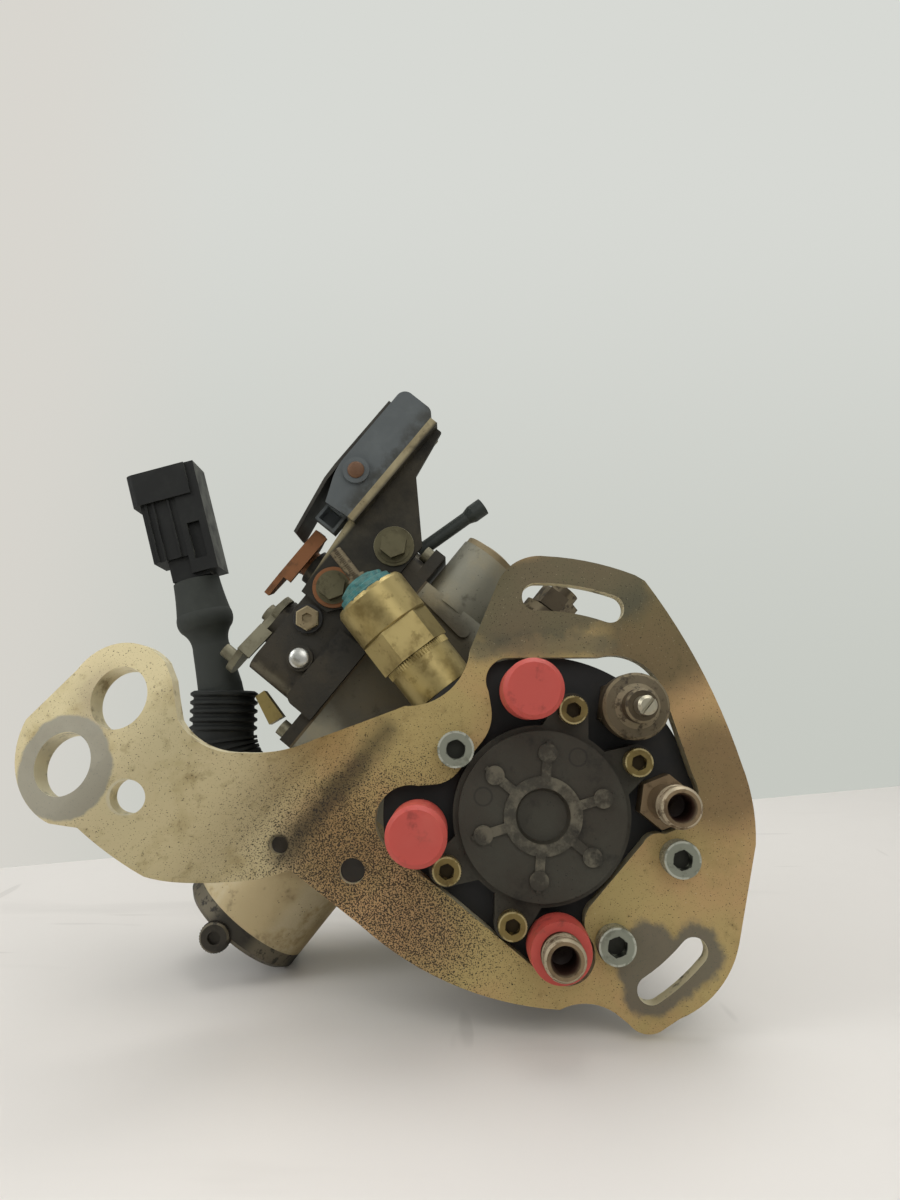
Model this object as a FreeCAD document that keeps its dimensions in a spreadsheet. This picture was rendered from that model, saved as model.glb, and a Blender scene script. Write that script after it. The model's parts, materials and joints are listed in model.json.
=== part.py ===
import FreeCAD, Part
import Sketcher
import math
import os
from FreeCAD import Placement, Rotation, Vector

# A four-outlet distributor injection pump, in millimetres.
# The pump axis lies along Y, with the drive end at +Y and the mounting face at Y 0.
# The pump leans on its bracket, so its own upright is rolled from +Z about the axis.

VALUES = {
    # Roll of the whole pump about its axis, anticlockwise as seen from the outlets.
    "roll_angle": 51,
    # Housing and its chamber.
    "pilot_radius": 25, "pilot_length": 6, "flange_radius": 50, "flange_thick": 10,
    "lug_reach": 55, "lug_radius": 8, "lug_slot_radius": 4.5,
    "barrel_radius": 47, "housing_length": 92, "rear_rim_radius": 56, "rear_rim_thick": 9,
    "head_bore": 38, "governor_bore": 34, "governor_depth": 26, "bearing_radius": 17.5,
    "bearing_width": 13, "seal_radius": 15, "seal_width": 7, "shaft_radius": 10,
    "chamber_half": 44, "chamber_top": 90, "chamber_wall": 6, "chamber_front": 20,
    "chamber_step": 4, "cover_right": 57, "side_boss_radius": 14, "side_boss_reach": 69,
    "side_boss_height": 76,
    # Cover on the chamber.
    "gasket_thick": 1, "cover_rise": 30, "cover_lip": 5, "cover_inset": 5, "cover_left_inset": 14,
    "panel_top": 105, "panel_rise": 3.5,
    "throttle_side": 8, "throttle_station": 60, "throttle_boss_radius": 11, "throttle_boss_rise": 7,
    "idle_side": 20, "idle_station": 70, "idle_boss_radius": 8, "idle_boss_rise": 9,
    # Hydraulic head.
    "head_radius": 57.5, "head_thick": 29, "plug_gap": 1, "rotor_radius": 12,
    "running_gap": 0.05, "seat_gap": 0.2, "transfer_radius": 22, "transfer_depth": 8,
    # End plate.
    "plate_radius": 32, "plate_step_radius": 30, "plate_thick": 8, "plate_step": 3.5,
    "hub_radius": 14, "hub_recess_radius": 9.8, "boss_reach": 22.2, "boss_radius": 3.4,
    "boss_tail_reach": 26.4, "relief": 1.1, "ear_reach": 39, "ear_radius": 6.3,
    "ear_half_angle": 22.25, "small_screw_radius": 3, "small_screw_head": 5, "small_screw_height": 6,
    # Rear bracket.
    "bracket_thick": 7, "bend_start": 61.7, "first_bend_angle": 52, "first_bend_radius": 20,
    "bend_straight": 12, "second_bend_angle": 71, "second_bend_radius": 40, "ear_hole_radius": 10.8,
    "ear_small_hole_radius": 5.7, "ear_hole_spacing": 28.2, "slot_radius": 79.2, "slot_half_width": 5.2,
    "low_slot_radius": 71, "low_slot_half_width": 5, "bracket_hole_radius": 4.5,
    "bolt_radius": 4, "bolt_head_radius": 6.5, "bolt_head_height": 8, "bolt_depth": 18,
    # Outlets.
    "outlet_reach": 44.5, "union_thread": 7, "union_root": 7.6, "union_hex": 8.6, "union_hex_height": 9,
    "union_height": 33, "union_bore": 4.2, "cap_radius": 10.4, "cap_wall": 1.6, "collar_height": 13,
    # Regulator.
    "regulator_side": 50.6, "regulator_up": -1.2, "regulator_radius": 11.9, "regulator_height": 27,
    "regulator_stem": 5, "adjuster_radius": 3.3, "adjuster_height": 9,
    # Stop solenoid.
    "solenoid_angle": 77, "solenoid_inset": 14, "solenoid_radius": 15, "solenoid_collar": 13.4,
    "solenoid_base": 57.7, "solenoid_length": 46, "solenoid_hex_start": 17.5, "can_start": 31,
    "crimp_rise": 2,
    "insulator_radius": 12.5, "insulator_height": 9, "stud_radius": 2.5, "stud_length": 15,
    # Advance unit on the chamber's side.
    "advance_radius": 27, "advance_height": 62, "advance_end": 119,
    "piston_radius": 16, "piston_length": 26, "rod_radius": 5, "cap_thick": 8,
    # Drive line.
    "shaft_front": 42, "cam_ring_radius": 37.95, "cam_bore": 26, "cam_width": 16, "cam_station": 56,
    "cam_pin_radius": 5,
    "lobe_rise": 1.6, "rotor_drum": 20, "plunger_radius": 3.5, "roller_radius": 4,
    "cage_radius": 30, "cage_thick": 3, "cage_station": 27.5, "sleeve_radius": 14, "sleeve_gap": 7,
    "weight_gap": 4.2, "hinge_pin_radius": 1.6, "hinge_pin_height": 24,
    "valve_radius": 3.5, "valve_inset": 14,
    # Switch on its bracket.
    "switch_start": 43.5, "switch_length": 57, "switch_thick": 17, "switch_width": 26,
    "switch_floor": 131.8, "switch_overhang": 9, "shelf_thick": 3.5, "web_thick": 2.8,
    "pipe_radius": 2.9, "pipe_wall": 0.8,
    # Sender lead.
    "gland_reach": 28, "gland_radius": 11, "gland_height": 9, "sleeve_bend": 29, "sleeve_rise": 12,
    "sleeve_valley": 13.2,
    "sleeve_ridge": 14.6, "sleeve_pitch": 3.7, "mouth_radius": 12, "mouth_depth": 6,
    "boot_length": 57, "boot_lean": 14.5, "connector_lean": 15.4, "connector_depth": 20,
    "connector_height": 51.5, "band_height": 14.5,
}

doc = FreeCAD.newDocument("injection_pump")
sheet = doc.addObject("Spreadsheet::Sheet", "Sizes")
for row, (name, value) in enumerate(VALUES.items(), start=1):
    sheet.set(f"A{row}", name)
    sheet.set(f"B{row}", str(value))
    sheet.setAlias(f"B{row}", name)
doc.recompute()


class Size(float):
    """A number from the sheet that keeps its formula, so sums of sizes can drive a sketch."""

    def __new__(cls, value, formula):
        number = super().__new__(cls, value)
        number.formula = formula
        return number

    def joined(self, other, sign, value, swapped=False):
        first, second = (formula_of(other), self.formula) if swapped else (self.formula, formula_of(other))
        return Size(value, f"({first} {sign} {second})")

    def __add__(self, other):
        return self.joined(other, "+", float(self) + float(other))

    def __radd__(self, other):
        return self.joined(other, "+", float(other) + float(self), True)

    def __sub__(self, other):
        return self.joined(other, "-", float(self) - float(other))

    def __rsub__(self, other):
        return self.joined(other, "-", float(other) - float(self), True)

    def __mul__(self, other):
        return self.joined(other, "*", float(self) * float(other))

    def __rmul__(self, other):
        return self.joined(other, "*", float(other) * float(self), True)

    def __truediv__(self, other):
        return self.joined(other, "/", float(self) / float(other))

    def __neg__(self):
        return Size(-float(self), f"(0 - {self.formula})")


def formula_of(number):
    return number.formula if isinstance(number, Size) else f"({float(number):.6f})"


class Sheet:
    """Reads a size from the sheet by its alias."""

    def __getattr__(self, alias):
        return Size(float(sheet.get(alias)), f"Sizes.{alias}")


size = Sheet()
pieces = []

AXIS = Vector(0, 1, 0)
ROLL = Rotation(Vector(0, -1, 0), float(size.roll_angle))


def across(side, up, station):
    """A point given by its side, its height above the axis and its distance behind the face."""
    return ROLL.multVec(Vector(float(side), -float(station), float(up)))


def bind(thing, field, number):
    if isinstance(number, Size):
        thing.setExpression(field, number.formula)
    else:
        setattr(thing, field, number)


def new_body(label, at=Vector(), turn=ROLL):
    body = doc.addObject("PartDesign::Body", label)
    body.Label = label
    body.Placement = Placement(at, turn)
    pieces.append(body)
    return body


def new_sketch(body, role, lift=0):
    plane = next(item for item in body.Origin.OriginFeatures if item.Role == role)
    sketch = body.newObject("Sketcher::SketchObject", "Sketch")
    sketch.AttachmentSupport = [(plane, "")]
    sketch.MapMode = "FlatFace"
    sketch.AttachmentOffset = Placement(Vector(0, 0, float(lift)), Rotation())
    if isinstance(lift, Size):
        sketch.setExpression("AttachmentOffset.Base.z", lift.formula)
    return sketch


def hold(sketch, kind, where, number):
    index = sketch.addConstraint(Sketcher.Constraint(kind, *where, float(number)))
    if isinstance(number, Size):
        sketch.setExpression(f"Constraints[{index}]", number.formula)


def pin(sketch, edge, end, point):
    """Holds one end of an edge at a point measured from the sketch's origin."""
    hold(sketch, "DistanceX", (-1, 1, edge, end), point[0])
    hold(sketch, "DistanceY", (-1, 1, edge, end), point[1])


def outline(sketch, points):
    """Closed outline. A point of two numbers ends a line, one of four ends an arc through the first two."""
    start = points[-1][-2:]
    for point in points:
        edge = sketch.GeometryCount
        end = point[-2:]
        first, last = Vector(*map(float, (*start, 0))), Vector(*map(float, (*end, 0)))
        if len(point) == 2:
            sketch.addGeometry(Part.LineSegment(first, last), False)
            pin(sketch, edge, 1, start)
            pin(sketch, edge, 2, end)
        else:
            via = Vector(*map(float, (*point[:2], 0)))
            sketch.addGeometry(Part.Arc(first, via, last), False)
            sketch.addConstraint(Sketcher.Constraint("Block", edge))
        start = end


def circle(sketch, x, y, radius):
    sketch.addGeometry(Part.Circle(Vector(float(x), float(y), 0), Vector(0, 0, 1), float(radius)), False)
    edge = sketch.GeometryCount - 1
    pin(sketch, edge, 3, (x, y))
    hold(sketch, "Radius", (edge,), radius)


def rectangle(sketch, x1, y1, x2, y2):
    outline(sketch, [(x1, y1), (x2, y1), (x2, y2), (x1, y2)])


def pad(body, sketch, length, both=False, back=False):
    feature = body.newObject("PartDesign::Pad", "Pad")
    feature.Profile = sketch
    bind(feature, "Length", length)
    feature.Midplane = both
    feature.Reversed = back
    sketch.Visibility = False
    return feature


def pocket(body, sketch, length, both=False, back=False):
    feature = body.newObject("PartDesign::Pocket", "Pocket")
    feature.Profile = sketch
    bind(feature, "Length", length)
    feature.Midplane = both
    feature.Reversed = back
    return feature


def spin(body, sketch, cut=False):
    feature = body.newObject("PartDesign::Groove" if cut else "PartDesign::Revolution", "Spin")
    feature.Profile = sketch
    feature.ReferenceAxis = (sketch, ["V_Axis"])
    feature.Angle = 360
    return feature


def pattern(body, feature, count, role="Y_Axis"):
    axis = next(item for item in body.Origin.OriginFeatures if item.Role == role)
    copies = body.newObject("PartDesign::PolarPattern", "Pattern")
    copies.Originals = [feature]
    copies.Axis = (axis, [""])
    copies.Angle = 360
    copies.Occurrences = count
    body.Tip = copies
    return copies


def lathe(label, profile, at=Vector(), turn=ROLL):
    """A turned piece: radius and station pairs, revolved about the body's own Y axis."""
    body = new_body(label, at, turn)
    sketch = new_sketch(body, "XY_Plane")
    outline(sketch, profile)
    spin(body, sketch)
    return body


def fillet(body, radius, test):
    """Rounds the edges of the tip that pass a test."""
    doc.recompute()
    tip = body.Tip
    names = [f"Edge{i}" for i, edge in enumerate(tip.Shape.Edges, start=1) if test(edge)]
    feature = body.newObject("PartDesign::Fillet", "Fillet")
    feature.Base = (tip, names)
    bind(feature, "Radius", radius)
    return feature


def polar_point(radius, degrees):
    return radius * math.cos(math.radians(degrees)), radius * math.sin(math.radians(degrees))


def hexagon(sketch, radius, x=0, y=0):
    """Six flats. The radius is the half width across them."""
    corner = radius / math.cos(math.radians(30))
    points = [polar_point(corner, 60 * step + 30) for step in range(6)]
    outline(sketch, [(x + dx, y + dy) for dx, dy in points])


HEAD_FACE = size.housing_length + size.head_thick
BRACKET_FACE = HEAD_FACE + size.bracket_thick
CHAMBER_REAR = size.housing_length - size.chamber_step
CAM_FRONT = size.cam_station - size.cam_width / 2
CAM_REAR = size.cam_station + size.cam_width / 2
FREE = 0.1
BOLTS = [(-1.3, 38.8), (18.9, -46.8), (-18.5, -46.9)]
EAR_SCREWS = [polar_point(size.ear_reach, angle) for angle in
              (float(size.ear_half_angle), -float(size.ear_half_angle),
               180 + float(size.ear_half_angle), 180 - float(size.ear_half_angle))]
OUTLETS = [polar_point(size.outlet_reach, angle) for angle in (45, 135, 225, 315)]
COVER_SCREWS = [(-size.chamber_half + 4, size.chamber_front + 4),
                (-size.chamber_half + 4, CHAMBER_REAR - 4),
                (size.cover_right - 4, size.chamber_front + 4), (size.cover_right - 4, CHAMBER_REAR - 4)]

SWITCH_BOLTS = [(46.5, 110), (17.5, 118.5)]


def socket_screw(label, at, shank, length, head, height, turn=ROLL, key=0.5):
    """A socket-head screw. Its seat is at the body's origin and its shank runs towards +Y."""
    body = lathe(label, [(0, length), (shank, length), (shank, 0), (head, 0), (head, -height),
                         (0, -height)],
                 at, turn)
    sketch = new_sketch(body, "XZ_Plane", height)
    hexagon(sketch, head * key)
    pocket(body, sketch, height * 0.55)
    return body


# The cast housing: pilot, three-lug flange, barrel, and the governor chamber on top of it.
def pump_housing():
    s = size
    body = new_body("pump_housing")
    sketch = new_sketch(body, "XY_Plane")
    rim_start = s.housing_length - s.rear_rim_thick
    outline(sketch, [(0, s.pilot_length), (s.pilot_radius, s.pilot_length), (s.pilot_radius, 0),
                     (s.flange_radius, 0), (s.flange_radius, -s.flange_thick),
                     (s.barrel_radius, -s.flange_thick), (s.barrel_radius, -rim_start),
                     (s.rear_rim_radius, -rim_start), (s.rear_rim_radius, -s.housing_length),
                     (0, -s.housing_length)])
    spin(body, sketch)
    sketch = new_sketch(body, "XZ_Plane")
    circle(sketch, 0, s.lug_reach, s.lug_radius)
    pattern(body, pad(body, sketch, s.flange_thick), 3)
    sketch = new_sketch(body, "XZ_Plane", s.chamber_front)
    rectangle(sketch, -s.chamber_half, 10, s.chamber_half, s.chamber_top)
    pad(body, sketch, CHAMBER_REAR - s.chamber_front)
    sketch = new_sketch(body, "YZ_Plane", s.chamber_half - 2)
    circle(sketch, -(CHAMBER_REAR - 13), s.side_boss_height, s.side_boss_radius)
    pad(body, sketch, s.side_boss_reach - s.chamber_half + 2)
    sketch = new_sketch(body, "XZ_Plane", CHAMBER_REAR)
    outline(sketch, [(34.5, 66), (37, 63, 40, 66), (41.5, 88), (36.8, 88)])
    pad(body, sketch, 2.2)
    sketch = new_sketch(body, "XY_Plane")
    seal_end = s.seal_width + 1
    bearing_start = seal_end + 2
    outline(sketch, [(0, s.pilot_length + 1), (s.seal_radius + FREE, s.pilot_length + 1),
                     (s.seal_radius + FREE, -seal_end), (s.shaft_radius + 2, -seal_end),
                     (s.shaft_radius + 2, -bearing_start), (s.bearing_radius + FREE, -bearing_start),
                     (s.bearing_radius + FREE, -s.governor_depth), (s.governor_bore, -s.governor_depth),
                     (s.governor_bore, -(CAM_FRONT - 1)),
                     (s.head_bore, -(CAM_FRONT - 1)),
                     (s.head_bore, -(s.housing_length + 1)), (0, -(s.housing_length + 1))])
    spin(body, sketch, cut=True)
    sketch = new_sketch(body, "XZ_Plane", CHAMBER_REAR - s.chamber_wall)
    inner = s.chamber_half - s.chamber_wall
    rectangle(sketch, -inner, 20, inner, s.chamber_top + 1)
    pocket(body, sketch, CHAMBER_REAR - s.chamber_front - s.chamber_wall * 2)
    sketch = new_sketch(body, "XZ_Plane", s.flange_thick + 1)
    circle(sketch, 0, s.lug_reach, s.lug_slot_radius)
    pattern(body, pocket(body, sketch, s.flange_thick + 2), 3)
    sketch = new_sketch(body, "YZ_Plane", -inner + 1)
    circle(sketch, -s.cam_station, s.advance_height, s.rod_radius + 1)
    pocket(body, sketch, s.chamber_wall + 2)
    sketch = new_sketch(body, "XY_Plane", s.chamber_top)
    for side, station in COVER_SCREWS[:2]:
        circle(sketch, side, -station, 2 + FREE)
    pocket(body, sketch, 12)


# The lid of the chamber carries the two lever shafts, on a thin paper gasket.
def cover_gasket():
    s = size
    body = new_body("cover_gasket")
    sketch = new_sketch(body, "XY_Plane", s.chamber_top)
    rectangle(sketch, -s.chamber_half, -CHAMBER_REAR, s.chamber_half, -s.chamber_front)
    inner = s.chamber_half - s.chamber_wall
    rectangle(sketch, -inner, -(CHAMBER_REAR - s.chamber_wall), inner, -(s.chamber_front + s.chamber_wall))
    for side, station in COVER_SCREWS[:2]:
        circle(sketch, side, -station, 2 + FREE)
    pad(body, sketch, s.gasket_thick)


def governor_cover():
    s = size
    base = s.chamber_top + s.gasket_thick
    top = base + s.cover_lip + s.cover_rise
    body = new_body("governor_cover")
    sketch = new_sketch(body, "XY_Plane", base)
    rectangle(sketch, -s.chamber_half, -CHAMBER_REAR, s.cover_right, -s.chamber_front)
    pad(body, sketch, s.cover_lip)
    sketch = new_sketch(body, "XY_Plane", base + s.cover_lip)
    rectangle(sketch, -(s.chamber_half - s.cover_left_inset), -CHAMBER_REAR,
              s.cover_right - s.cover_inset, -(s.chamber_front + s.cover_inset))
    pad(body, sketch, s.cover_rise)
    low, high = float(base + s.cover_lip), float(top)

    def dome_corner(edge):
        ends = [vertex.Point.z for vertex in edge.Vertexes]
        return len(ends) == 2 and abs(min(ends) - low) < 0.01 and abs(max(ends) - high) < 0.01

    fillet(body, 8, dome_corner)
    left = -(s.chamber_half - s.cover_left_inset)
    sketch = new_sketch(body, "XZ_Plane", CHAMBER_REAR)
    outline(sketch, [(left, base), (6, base), (6, s.panel_top), (left + 4, s.panel_top),
                     (left + 1.2, s.panel_top - 1.2, left, s.panel_top - 4)])
    pad(body, sketch, s.panel_rise)
    for side, up, radius, rise in ((1, 118.4, 6.2, 1.5), (1, 118.4, 4.6, 3), (-13.5, 110.5, 5.4, 3)):
        sketch = new_sketch(body, "XZ_Plane", CHAMBER_REAR)
        circle(sketch, side, up, radius)
        pad(body, sketch, rise)
    sketch = new_sketch(body, "XY_Plane", top)
    circle(sketch, -s.throttle_side, -s.throttle_station, s.throttle_boss_radius)
    pad(body, sketch, s.throttle_boss_rise)
    sketch = new_sketch(body, "XY_Plane", top)
    circle(sketch, s.idle_side, -s.idle_station, s.idle_boss_radius)
    pad(body, sketch, s.idle_boss_rise)
    sketch = new_sketch(body, "XY_Plane", top + s.idle_boss_rise)
    circle(sketch, -s.throttle_side, -s.throttle_station, 4 + s.running_gap)
    circle(sketch, s.idle_side, -s.idle_station, 3 + s.running_gap)
    pocket(body, sketch, 60)
    sketch = new_sketch(body, "XY_Plane", base + s.cover_lip)
    for side, station in COVER_SCREWS:
        circle(sketch, side, -station, 2 + FREE)
    pocket(body, sketch, s.cover_lip)
    sketch = new_sketch(body, "XY_Plane", top)
    for side, station in COVER_SCREWS:
        circle(sketch, side, -station, 4.4)
    pocket(body, sketch, s.cover_rise)
    sketch = new_sketch(body, "XZ_Plane", CHAMBER_REAR)
    for side, up in SWITCH_BOLTS:
        circle(sketch, side, up, 3 + FREE)
    pocket(body, sketch, 5)


def cover_screws():
    base = size.chamber_top + size.gasket_thick + size.cover_lip
    up = ROLL.multiply(Rotation(Vector(1, 0, 0), -90))
    for number, (side, station) in enumerate(COVER_SCREWS, start=1):
        length = 15 if number < 3 else size.cover_lip - 0.5
        socket_screw(f"cover_screw_{number}", across(side, base, station), 2, length, 3.4, 3.5, up)


# The black hydraulic head closes the housing's rear and carries the four outlets.
def hydraulic_head():
    s = size
    body = new_body("hydraulic_head")
    sketch = new_sketch(body, "XY_Plane")
    start = CAM_REAR + s.plug_gap
    bore = s.rotor_radius + s.running_gap
    outline(sketch, [(bore, -start), (s.head_bore - FREE, -start), (s.head_bore - FREE, -s.housing_length),
                     (s.head_radius, -s.housing_length), (s.head_radius, -HEAD_FACE),
                     (s.transfer_radius, -HEAD_FACE), (s.transfer_radius, -(HEAD_FACE - s.transfer_depth)),
                     (bore, -(HEAD_FACE - s.transfer_depth))])
    spin(body, sketch)
    sketch = new_sketch(body, "XY_Plane", s.head_bore + 1)
    circle(sketch, 0, -(s.housing_length - s.valve_inset), s.valve_radius + s.running_gap)
    pocket(body, sketch, s.head_bore - 13)
    sketch = new_sketch(body, "XZ_Plane", HEAD_FACE)
    for x, y in BOLTS:
        circle(sketch, x, y, s.bolt_radius + FREE)
    for x, y in EAR_SCREWS:
        circle(sketch, x, y, s.small_screw_radius + FREE)
    for x, y in OUTLETS:
        circle(sketch, x, y, s.union_root + FREE)
    circle(sketch, s.regulator_side, s.regulator_up, s.regulator_stem + FREE)
    pocket(body, sketch, 13)
    tilt = Rotation(AXIS, 90 - float(s.solenoid_angle))
    sketch = new_sketch(body, "XY_Plane")
    circle(sketch, 0, -(s.housing_length + s.solenoid_inset), 8 + FREE)
    sketch.AttachmentOffset = Placement(tilt.multVec(Vector(0, 0, float(s.head_radius) + 1)), tilt)
    pocket(body, sketch, 12)


# The die-cast end plate: a stepped disc with four screw ears, a hub and six ejector bosses.
def end_plate():
    s = size
    body = new_body("end_plate")
    sketch = new_sketch(body, "XY_Plane")
    step = HEAD_FACE + s.plate_thick
    face = step + s.plate_step
    outline(sketch, [(0, -HEAD_FACE), (s.plate_radius, -HEAD_FACE), (s.plate_radius, -step),
                     (s.plate_step_radius, -step), (s.plate_step_radius, -face), (s.hub_radius, -face),
                     (s.hub_radius, -(face + s.relief)), (s.hub_recess_radius, -(face + s.relief)),
                     (s.hub_recess_radius - 1, -(face - 2)), (0, -(face - 2))])
    spin(body, sketch)
    for x, y in EAR_SCREWS:
        sketch = new_sketch(body, "XZ_Plane", HEAD_FACE)
        out = Vector(float(x), float(y), 0).normalize()
        aside = Vector(-out.y, out.x, 0) * float(s.ear_radius)
        centre = Vector(float(x), float(y), 0)
        inner = out * float(s.plate_radius - 4)
        root = aside * 1.5
        tip = centre + out * float(s.ear_radius)
        outline(sketch, [(inner.x + root.x, inner.y + root.y), (inner.x - root.x, inner.y - root.y),
                         (centre.x - aside.x, centre.y - aside.y),
                         (tip.x, tip.y, centre.x + aside.x, centre.y + aside.y)])
        pad(body, sketch, s.plate_thick)
    for angle in (-35, 34, 89, 146, 214.5, 269.5):
        out = Vector(*polar_point(1, angle), 0)
        aside = Vector(-out.y, out.x, 0)
        for reach, half in ((s.boss_reach, 1.7), (s.boss_tail_reach, 0.8)):
            sketch = new_sketch(body, "XZ_Plane", face)
            near, far = out * float(s.hub_radius - 1), out * float(reach)
            outline(sketch, [xy(near + aside * half), xy(near - aside * half),
                             xy(far - aside * half), xy(far + aside * half)])
            pad(body, sketch, s.relief)
        sketch = new_sketch(body, "XZ_Plane", face)
        circle(sketch, *polar_point(s.boss_reach, angle), s.boss_radius)
        pad(body, sketch, s.relief + 0.3)
    sketch = new_sketch(body, "XZ_Plane", step)
    for x, y in EAR_SCREWS:
        circle(sketch, x, y, s.small_screw_radius + FREE)
    pocket(body, sketch, s.plate_thick)
    for number, (x, y) in enumerate(EAR_SCREWS, start=1):
        socket_screw(f"end_plate_screw_{number}", across(x, y, step), s.small_screw_radius,
                     s.plate_thick + 11, s.small_screw_head, s.small_screw_height)


# Corner points of the bracket, from the dip beside the stop solenoid and clockwise as seen from the rear.
BRACKET_EDGE = [
    (-0.9, 62.9), (14.5, 53.8, 30, 57.3), (57, 65.3), (67.9, 63.9, 75, 57.5), (84, 42.8, 90.4, 27.1),
    (91, 22.9), (77.5, -14, 59.5, -45.4), (51.5, -56, 40, -66), (8.5, -81.9), (-5, -85.3, -24.4, -80.6),
    (-31, -78.3), (-35.6, -75, -37, -68), (-37.1, -61.8), (-40, -53.5, -48.4, -46.2),
    (-63.5, -17.5, -70.4, 26.4), (-71.6, 57.9), (-90, 75, -98, 93), (-97.7, 119), (-103, 127.5),
    (-101.5, 147.5, -86, 160), (-62, 157.5), (-43, 148.3, -39.8, 133.4), (-42.6, 127), (-51, 116.4),
    (-52.5, 108.5, -47.3, 94.6), (-41.6, 87.7, -30, 79.8),
]
BRACKET_OPENING = [
    (-25.5, 46.6, -20, 41), (-15.5, 36.3), (-11.5, 33.8, -6, 33), (7, 33),
    (14.6, 35, 18.4, 38), (22.5, 42.6), (28.5, 47.4, 36, 45.3), (58, 18.5), (65.8, 3, 61.7, -8.7),
    (45.2, -34), (40.5, -40.2, 34.5, -42.8), (28, -41.6), (22.5, -38.5), (20, -35.3, 15, -34.3), (-13, -33),
    (-18.5, -34, -22.5, -38.5), (-33, -47, -43, -36), (-42.8, 5), (-43.8, 34), (-41, 43.5, -32, 48),
]


def sheet_profile():
    """Side profile of the bent sheet: flat plate, bend out to the rear, then the reverse bend to the ears."""
    s = size
    thick = float(s.bracket_thick)
    first = math.radians(float(s.first_bend_angle))
    last = first - math.radians(float(s.second_bend_angle))
    near, far = float(s.first_bend_radius), float(s.second_bend_radius)

    def normal(angle):
        return Vector(math.cos(angle), math.sin(angle), 0)

    def along(angle):
        return Vector(-math.sin(angle), math.cos(angle), 0)

    rear = -float(BRACKET_FACE)
    start = Vector(rear, float(s.bend_start), 0)
    centre = start - normal(0) * near
    bend_end = centre + normal(first) * near
    straight_end = bend_end + along(first) * float(s.bend_straight)
    back_centre = straight_end + normal(first) * far
    ear_start = back_centre - normal(last) * far
    tip = ear_start + along(last) * 42
    middle, turn = first / 2, (first + last) / 2
    return [
        (rear, -95), (start.x, start.y),
        (*xy(centre + normal(middle) * near), *xy(bend_end)), xy(straight_end),
        (*xy(back_centre - normal(turn) * far), *xy(ear_start)), xy(tip), xy(tip + normal(last) * thick),
        xy(ear_start + normal(last) * thick),
        (*xy(back_centre - normal(turn) * (far - thick)), *xy(straight_end + normal(first) * thick)),
        xy(bend_end + normal(first) * thick),
        (*xy(centre + normal(middle) * (near + thick)), rear + thick, start.y), (rear + thick, -95),
    ], ear_start, last


def xy(point):
    return point.x, point.y


def arc_slot(sketch, radius, half, low, high):
    """A slot that follows a circle about the pump axis, between the centres of its round ends."""
    inner, outer = radius - half, radius + half
    middle = (low + high) / 2
    points = [polar_point(inner, low), (*polar_point(inner, middle), *polar_point(inner, high))]
    end = Vector(*polar_point(float(radius), high), 0)
    side = Vector(*polar_point(float(half), high + 90), 0)
    points.append((end.x + side.x, end.y + side.y, *polar_point(outer, high)))
    points.append((*polar_point(outer, middle), *polar_point(outer, low)))
    end = Vector(*polar_point(float(radius), low), 0)
    side = Vector(*polar_point(float(half), low - 90), 0)
    points[0] = (end.x + side.x, end.y + side.y, *polar_point(inner, low))
    outline(sketch, points)


def rear_bracket():
    s = size
    body = new_body("rear_bracket")
    profile, ear_start, tilt = sheet_profile()
    sketch = new_sketch(body, "YZ_Plane", -112)
    outline(sketch, profile)
    pad(body, sketch, 210)
    sketch = new_sketch(body, "XZ_Plane", HEAD_FACE + 60)
    rectangle(sketch, -130, -110, 120, 190)
    outline(sketch, BRACKET_EDGE)
    pocket(body, sketch, 80)
    sketch = new_sketch(body, "XZ_Plane", BRACKET_FACE)
    outline(sketch, BRACKET_OPENING)
    arc_slot(sketch, s.slot_radius, s.slot_half_width, 19.6, 39.8)
    arc_slot(sketch, s.low_slot_radius, s.low_slot_half_width, -109, -92.7)
    circle(sketch, -57.9, 40.4, s.bracket_hole_radius)
    for x, y in BOLTS:
        circle(sketch, x, y, s.bolt_radius + 0.5)
    pocket(body, sketch, s.bracket_thick)
    sketch = new_sketch(body, "XZ_Plane", HEAD_FACE + 60)
    circle(sketch, -80.2, 112.9, s.ear_small_hole_radius)
    circle(sketch, -67.5, 66.5, 3.2)
    pocket(body, sketch, 70)
    sketch = new_sketch(body, "XZ_Plane")
    ear_centre = 138 - ear_start.y
    lean = Rotation(Vector(1, 0, 0), math.degrees(tilt))
    station = -ear_start.x + ear_centre * math.tan(tilt)
    sketch.AttachmentOffset = Placement(Vector(0, 138, station) + lean.multVec(Vector(0, 0, 6)), lean)
    for side in (-58.9, -58.9 - float(s.ear_hole_spacing)):
        circle(sketch, side, 0, s.ear_hole_radius)
    pocket(body, sketch, 25)
    for number, (x, y) in enumerate(BOLTS, start=1):
        socket_screw(f"bracket_bolt_{number}", across(x, y, BRACKET_FACE), s.bolt_radius, s.bolt_depth,
                     s.bolt_head_radius, s.bolt_head_height)


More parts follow.
